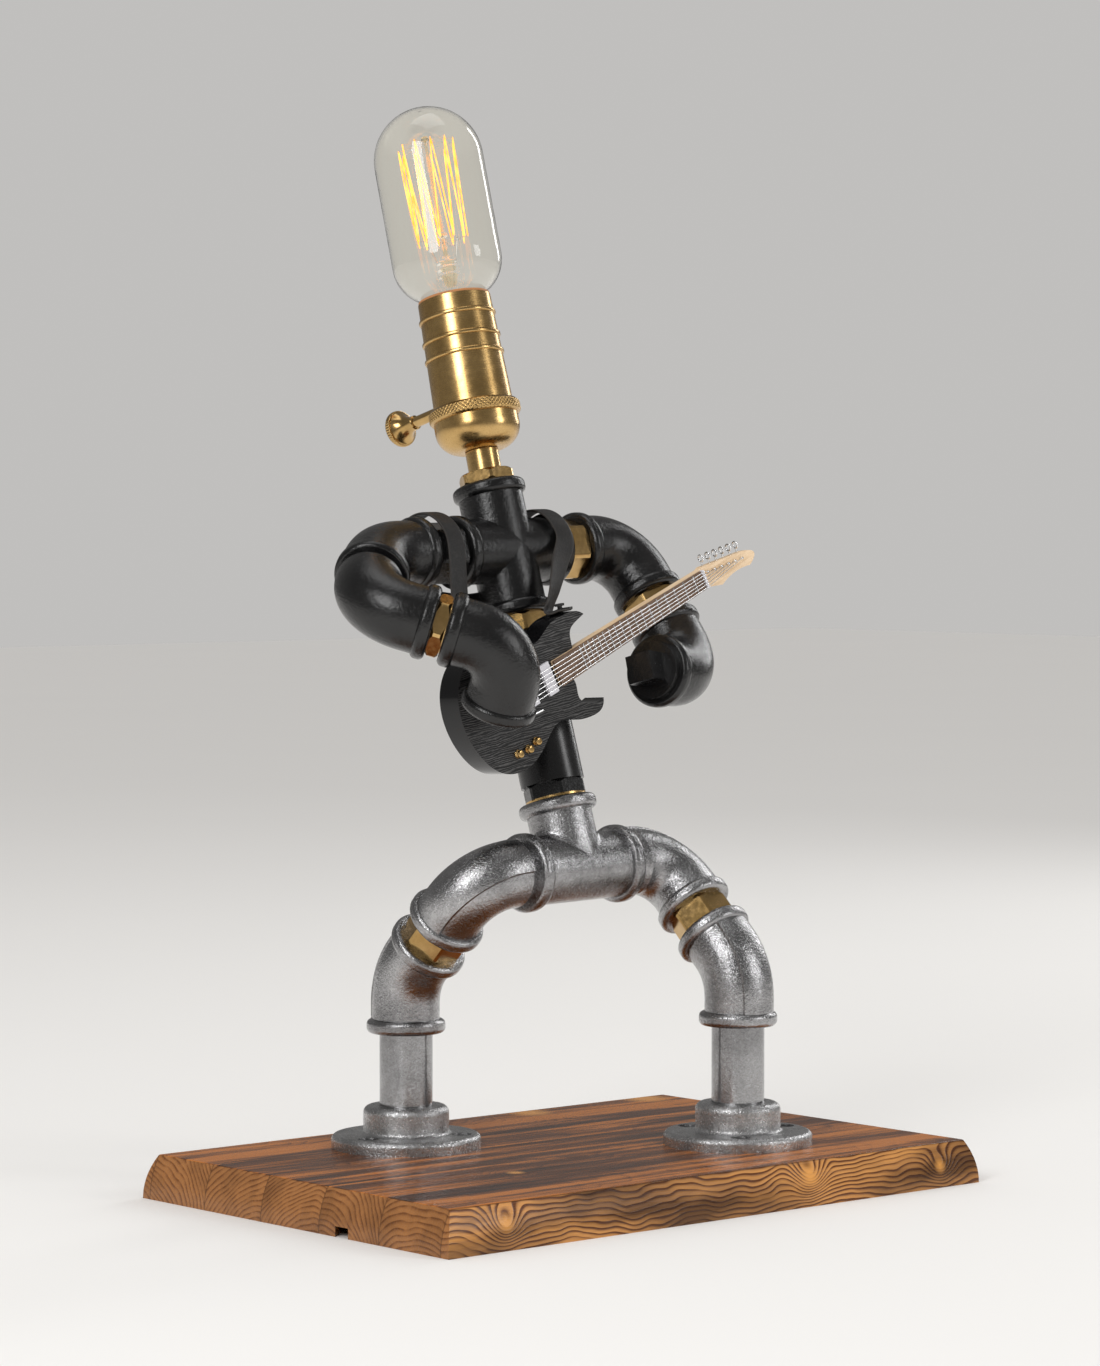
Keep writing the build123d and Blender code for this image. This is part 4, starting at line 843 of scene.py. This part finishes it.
@dataclass
class Bulb(Assembly):
    """The glowing cage and the glass mount inside the envelope, in millimetres along the head's line."""

    cage_base: float = 102.5
    cage_top: float = 146.0
    cage_radius: float = 10.3
    cage_legs: int = 22
    cage_flare: float = 0.13
    leg_steps: int = 22
    uneven: float = 2.2
    sway: float = 0.9
    wire_radius: float = 0.27
    hook_radius: float = 0.13
    hook_rise: float = 1.5
    hook_drop: float = 2.0
    rod_radius: float = 1.0
    lead_radius: float = 0.35
    lead_base: float = 84.0
    lead_height: float = 18.6
    foot_base: float = 72.4
    mount_profile: tuple = ((11.5, 0.0), (11.2, 3.5), (8.0, 7.0), (5.6, 11.0), (4.7, 14.6), (5.0, 16.2),
                            (4.3, 17.8), (4.8, 19.4), (4.1, 20.8), (4.5, 22.0), (3.2, 23.2), (1.9, 24.6),
                            (1.5, 27.5), (1.0, 30.0), (1.0, 32.4), (2.0, 33.1), (2.0, 34.4), (1.0, 35.1),
                            (1.0, 40.0), (1.0, 73.5), (1.6, 74.6), (0.9, 75.6), (TIP, 75.8))
    seed: int = 7

    def build_cage(self) -> None:
        """The filament: one wire that zigzags round the mount, each leg bowed and rounded at its turns."""
        rng = np.random.default_rng(self.seed)
        t = np.linspace(0, 1, self.leg_steps, endpoint=False)
        along = (np.arange(self.cage_legs)[:, None] + t).ravel()
        linear = np.abs((along + 1) % 2 - 1)
        rounded = np.clip(0.5 - 0.53 * np.cos(np.pi * along), 0, 1)
        level = 0.66 * linear + 0.34 * rounded
        turn = 2 * np.pi * along / self.cage_legs
        sway = np.repeat(rng.uniform(-self.sway, self.sway, self.cage_legs), self.leg_steps)
        bow = np.sin(np.pi * np.tile(t, self.cage_legs)) * sway
        radius = self.cage_radius * (1 + self.cage_flare * level) + bow
        height = np.interp(along, np.arange(self.cage_legs + 1), self.turn_heights())
        height = height + (level - linear) * (self.cage_top - self.cage_base)
        path = np.stack([radius * np.cos(turn), radius * np.sin(turn), height], axis=-1)
        points, quads = sweep_tube(path, self.wire_radius, 6)
        piece = mesh_piece("filament_cage", HEAD.place(points), quads)
        self.settle(piece, Body.BULB, "filament_wire", "bulb_filament")

    def turn_heights(self) -> Array:
        """The height of each of the cage's turns, low and high by turns and a little uneven."""
        legs = np.arange(self.cage_legs + 1)
        uneven = np.random.default_rng(self.seed + 1).uniform(0.0, self.uneven, self.cage_legs + 1)
        uneven[-1] = uneven[0]
        return np.where(legs % 2 == 1, self.cage_top - uneven, self.cage_base + uneven)

    def build_hooks(self) -> None:
        """The arms that hold the cage's turns: each leaves the rod and bends up or down to a turn."""
        s = np.linspace(0, 1, 9)
        runs = []
        for leg, end in enumerate(self.turn_heights()[:-1]):
            upper = leg % 2 == 1
            cage = self.cage_radius * (1 + self.cage_flare * upper)
            reach = self.rod_radius + (cage - self.rod_radius) * s
            bend = self.hook_rise if upper else -self.hook_drop
            level = end + bend * np.sin(np.pi * s) * (1 - s)
            path = turned([2 * np.pi * leg / self.cage_legs], reach, level)[0]
            runs.append((path, self.hook_radius, 5))
        points, quads = sweep_tubes(runs)
        piece = mesh_piece("cage_hooks", HEAD.place(points), quads)
        self.settle(piece, Body.BULB, "bright_steel")

    def build_mount(self) -> None:
        """The mount: a turned foot that narrows to a rod with a bead at its tip, and two lead wires."""
        profile = smooth_path(np.array(self.mount_profile), 5)
        points = turned(circle(40), np.clip(profile[:, 0], TIP, None), profile[:, 1] + self.foot_base)
        piece = mesh_piece("bulb_mount_glass", HEAD.place(points), grid_quads(points, True, False))
        self.settle(piece, Body.BULB, "bulb_glass", "bulb_mount", finish="stem_glass_painted_glow")
        s = np.linspace(0, 1, 14)
        for name, side in (("lead_wire_left", -1), ("lead_wire_right", 1)):
            path = np.stack([side * (2.0 + 6.5 * s ** 2), 1.2 * side * np.sin(np.pi * s),
                             self.lead_base + self.lead_height * s], axis=-1)
            points, quads = sweep_tube(path, self.lead_radius, 8)
            lead = mesh_piece(name, HEAD.place(points), quads)
            self.settle(lead, Body.BULB, "bright_steel")


@dataclass
class Guitar(Assembly):
    """The guitar's fluted knobs and its string ends, in millimetres on its own face."""

    length: float = 73.0
    width: float = 52.0
    knobs: tuple = ((-0.553, -0.379), (-0.478, -0.39), (-0.41, -0.371))
    knob_profile: tuple = ((1.78, 0.0), (1.78, 0.5), (1.6, 0.6), (1.55, 1.9), (1.4, 2.12), (1.0, 2.18),
                           (0.5, 2.2), (TIP, 2.2))
    knob_fluted: tuple = (0, 0, 1, 1, 0, 0, 0, 0)
    knob_flutes: int = 24
    knob_flute_depth: float = 0.1
    strings: int = 6
    string_radius: float = 0.17
    nut_place: float = 79.0
    nut_span: float = 6.4
    nut_height: float = 2.98
    tuner_line: tuple = ((80.86, 4.46), (104.42, 0.74))
    post_inset: float = 2.5
    post_radius: float = 0.55
    post_height: float = 1.5
    head_face: float = -0.3

    def build_knobs(self) -> None:
        """The three knobs: a fluted skirt with a domed top."""
        turn = circle(96)
        section_r, section_z = np.array(self.knob_profile).T
        flutes = self.knob_flute_depth * (0.5 + 0.5 * np.cos(self.knob_flutes * turn))
        one = turned(turn, section_r - flutes[:, None] * np.array(self.knob_fluted), section_z)
        places = np.array(self.knobs) * (self.length, self.width)
        points = one.reshape(-1, 3) + np.pad(places, ((0, 0), (0, 1)))[:, None, :]
        quads = grid_quads(one, True, False)
        faces = np.vstack([quads + index * points.shape[1] for index in range(len(points))])
        piece = mesh_piece("guitar_knob_set", GUITAR.place(points), faces)
        self.settle(piece, Body.STAND, "brass", "guitar_knobs")

    def build_string_ends(self) -> None:
        """The string ends past the nut: straight tubes down to round posts, the nearest to the nearest."""
        near, far = np.array(self.tuner_line)
        course = unit(far - near)
        inward = np.array([course[1], -course[0]])
        share = (np.arange(self.strings) + 0.5) / self.strings
        feet = near + share[:, None] * (far - near) + self.post_inset * inward
        across = np.linspace(0.5, -0.5, self.strings) * self.nut_span
        levels = self.head_face + self.post_height * np.array([0.0, 0.85, 0.99, 1.0])
        post_radius = self.post_radius * np.array([1.0, 1.0, 0.85, 0.02])
        tied = self.head_face + 0.6 * self.post_height
        runs = []
        for foot, side in zip(feet, across):
            string = np.array([[self.nut_place, side, self.nut_height], [*foot, tied]])
            post = np.column_stack([np.tile(foot, (len(levels), 1)), levels])
            runs += [(string, self.string_radius, 8), (post, post_radius, 20)]
        points, quads = sweep_tubes(runs)
        piece = mesh_piece("string_ends", GUITAR.place(points), quads)
        self.settle(piece, Body.STAND, "bright_steel")


@dataclass
class Strap(Assembly):
    """The leather strap from the guitar's back over both shoulders to its upper horn, in millimetres."""

    width: float = 8.6
    thickness: float = 1.1
    rest: float = 16.1
    right_place: float = -39.5
    left_place: float = 20.5
    back_drop: float = 17.5
    back_corner: float = 12.0
    back_turn: float = 3.5
    tail_place: Triple = (-43.8, 10.4, -12.6)
    horn_place: Triple = (9.38, 19.5, -5.85)
    horn_angle: float = math.radians(76.0)
    horn_slant: float = math.radians(52.0)
    end_length: float = 9.0
    end_share: float = 0.72
    taper_start: float = 0.82
    taper_end: float = 0.97
    steps: int = 12

    def shoulders(self) -> tuple[Array, Array, Array]:
        """The middle line over the right shoulder, behind the chest and over the left shoulder.

        Returns:
            Points, width directions and outward directions in the lamp's frame.
        """
        arch = np.radians((0, 36, 72, 108, 144, 180))
        zero, one = np.zeros_like(arch), np.ones_like(arch)
        face_right = np.stack([zero, -np.cos(arch), np.sin(arch)], axis=-1)
        right = self.rest * face_right + (self.right_place, 0, 0)
        left = self.rest * face_right[::-1] + (self.left_place, 0, 0)
        middle = (self.right_place + self.left_place) / 2
        behind = np.array(((self.right_place + self.back_turn, self.rest, -self.back_corner),
                           (middle, self.rest, -self.back_drop),
                           (self.left_place - self.back_turn, self.rest, -self.back_corner)))
        wide_right = np.stack([one, zero, zero], axis=-1)
        wide_behind = np.array(((0.8, 0, -0.6), (0, 0, -1), (-0.8, 0, -0.6)))
        face_behind = np.tile((0.0, 1.0, 0.0), (3, 1))
        return (CHEST.place(np.vstack([right, behind, left])),
                CHEST.aim(np.vstack([wide_right, wide_behind, -wide_right])),
                CHEST.aim(np.vstack([face_right, face_behind, face_right[::-1]])))

    def flat_end(self, place: Array, ahead: Array,
                 out: Array) -> tuple[Array, Array, Array]:
        """Three knots of an end that lies flat on the guitar.

        Args:
            place: the middle of the end on the guitar.
            ahead: the way that the strap runs there.
            out: the way that its outer face looks.
        Returns:
            Points, width directions and outward directions in the lamp's frame.
        """
        rows = place + np.array((-0.5, 0.0, 0.5))[:, None] * self.end_length * ahead
        wide, face = np.tile(np.cross(ahead, out), (3, 1)), np.tile(out, (3, 1))
        return GUITAR.place(rows), GUITAR.aim(wide), GUITAR.aim(face)

    def stations(self) -> list[Array]:
        """The strap's middle line with its width and outward directions at each knot.

        Returns:
            Points in metres, and two arrays of directions.
        """
        over = self.shoulders()
        front = np.array((0.0, 0.0, 1.0))
        tail, horn = np.array(self.tail_place), np.array(self.horn_place)
        up = unit((GUITAR.measure(over[0][0]) - tail) * (1, 1, 0))
        out = np.array((math.cos(self.horn_angle), math.sin(self.horn_angle), 0.0))
        ahead = math.cos(self.horn_slant) * np.cross(out, front) + math.sin(self.horn_slant) * front
        share = np.array((1 / 3, 2 / 3))[:, None]
        lines = []
        for start, middle, end in zip(self.flat_end(tail, up, front), over, self.flat_end(horn, ahead, out)):
            drop = (1 - share) * start[-1:] + share * middle[:1]
            fall = (1 - share) * middle[-1:] + share * end[:1]
            lines.append(np.vstack([start, drop, middle, fall, end]))
        return lines

    def build(self) -> None:
        """The strap: a flat rounded section carried along the middle line and turned with it."""
        centre, sideways, outward = self.stations()
        path = smooth_path(centre, self.steps)
        tangent = unit(np.gradient(path, axis=0))
        wide = smooth_path(unit(sideways), self.steps)
        face = smooth_path(unit(outward), self.steps)
        wide = unit(wide - np.sum(wide * tangent, axis=1, keepdims=True) * tangent)
        normal = np.cross(wide, tangent)
        normal *= np.sign(np.sum(normal * face, axis=1, keepdims=True))
        cos, sin = np.cos(circle(28)), np.sin(circle(28))
        flat = np.sign(cos) * np.abs(cos) ** 0.35 * self.width / 2
        thick = np.sign(sin) * np.abs(sin) ** 0.5 * self.thickness / 2
        run = np.linspace(0, 1, len(path))[:, None]
        taper = np.interp(run, (0.0, self.taper_start, self.taper_end), (1.0, 1.0, self.end_share))
        points = (path[:, None, :] + MM * (taper * flat)[:, :, None] * wide[:, None, :]
                  + MM * thick[None, :, None] * normal[:, None, :])
        rows, cols = points.shape[:2]
        uv = np.stack(np.broadcast_arrays(run, 0.5 + flat / self.width), axis=-1)
        caps = [list(range(cols))[::-1], list(range((rows - 1) * cols, rows * cols))]
        piece = mesh_piece("leather_strap", points, grid_quads(points, False, True), caps, uv)
        work = bmesh.new()
        work.from_mesh(piece.data)
        bmesh.ops.recalc_face_normals(work, faces=work.faces)
        work.to_mesh(piece.data)
        work.free()
        self.settle(piece, Body.STAND, "strap_leather", "guitar_strap")


@dataclass
class Studio:
    """The floor, the lights and the camera at the photograph's viewing angle."""

    camera_place: Triple = (-1.14329, -1.30362, 0.27149)
    yaw: float = 0.7163
    pitch: float = -0.0393
    lens: float = 114.65
    sensor: float = 36.0
    view_depth: float = 50.0
    floor_colour: Triple = (0.83, 0.82, 0.805)
    floor_reach: float = 6.0
    sky_colour: Triple = (1.0, 0.985, 0.965)
    soft_light: float = 0.72
    reflected_light: float = 0.2
    backdrop: float = 0.53
    light_aim: Triple = (0.0, 0.0, 0.22)
    boxes: tuple = (("key_box", (-1.5, -0.55, 1.15), (0.6, 0.8), 13.0),
                    ("fill_box", (0.85, -1.5, 0.8), (0.4, 0.8), 6.0),
                    ("rim_strip", (1.6, 0.35, 0.85), (0.25, 1.0), 5.0),
                    ("top_box", (0.0, 0.1, 1.6), (0.8, 0.8), 3.0))

    def build_floor(self) -> None:
        """A wide pale floor whose grid of points lies level under the board."""
        reach = np.linspace(-self.floor_reach, self.floor_reach, 13)
        x, y = np.meshgrid(reach, reach, indexing="ij")
        points = np.stack([x, y, np.zeros_like(x)], axis=-1)
        floor = mesh_piece("studio_floor", points, grid_quads(points, False, False)[:, ::-1])
        material = bpy.data.materials.new("studio_floor")
        floor.data.materials.append(material)
        shade = Shade(material)
        soft = shade.noise(shade.place(), 3.0, 2.0)
        low = tuple(c * 0.985 for c in self.floor_colour)
        shade.set(Base_Color=shade.mix(soft, low, self.floor_colour), Roughness=0.75)

    def build_world(self) -> None:
        """Soft even light all round, darker in reflections, and a pale backdrop where it is seen directly."""
        world = bpy.data.worlds.new("studio")
        bpy.context.scene.world = world
        sky = Shade(world, "Background")
        ray = sky.node("LightPath").outputs
        level = sky.span(ray["Is Glossy Ray"], 0.0, 1.0, self.soft_light, self.reflected_light)
        seen = sky.math("MAXIMUM", ray["Is Camera Ray"], ray["Is Transmission Ray"])
        sky.set(Color=self.sky_colour, Strength=sky.span(seen, 0.0, 1.0, level, self.backdrop))

    def build_lights(self) -> None:
        """Soft boxes that face the lamp: a key and a fill beside the camera, one behind and one above."""
        for name, place, size, power in self.boxes:
            data = bpy.data.lights.new(name, "AREA")
            data.shape = "RECTANGLE"
            data.size, data.size_y = size
            data.energy = power
            light = bpy.data.objects.new(name, data)
            light.location = place
            light.visible_transmission = False
            way = unit(np.asarray(self.light_aim) - np.asarray(place))
            light.rotation_euler = (math.acos(-way[2]), 0.0, math.atan2(way[0], -way[1]) + math.pi)
            bpy.context.scene.collection.objects.link(light)

    def build_camera(self) -> None:
        """The camera where the photograph was taken from, worked out from the pipe sizes."""
        data = bpy.data.cameras.new("camera")
        data.lens = self.lens
        data.sensor_width = self.sensor
        data.clip_end = self.view_depth
        camera = bpy.data.objects.new("camera", data)
        camera.location = self.camera_place
        camera.rotation_euler = (math.pi / 2 + self.pitch, 0.0, -self.yaw)
        bpy.context.scene.collection.objects.link(camera)
        bpy.context.scene.camera = camera

    def build(self) -> None:
        """Builds the whole stage."""
        self.build_floor()
        self.build_world()
        self.build_lights()
        self.build_camera()
        bpy.context.scene.view_settings.view_transform = "Standard"


def main() -> None:
    """Builds and dresses every sub-assembly in order."""
    logging.basicConfig(level=logging.INFO)
    materials = {name: finish.material() for name, finish in FINISHES.items()}
    Fittings(materials).dress()
    holder = Lampholder(materials)
    holder.build_ring()
    holder.build_knob()
    bulb = Bulb(materials)
    bulb.build_cage()
    bulb.build_hooks()
    bulb.build_mount()
    guitar = Guitar(materials)
    guitar.build_knobs()
    guitar.build_string_ends()
    Strap(materials).build()
    Studio().build()


if __name__ == "__main__":
    main()
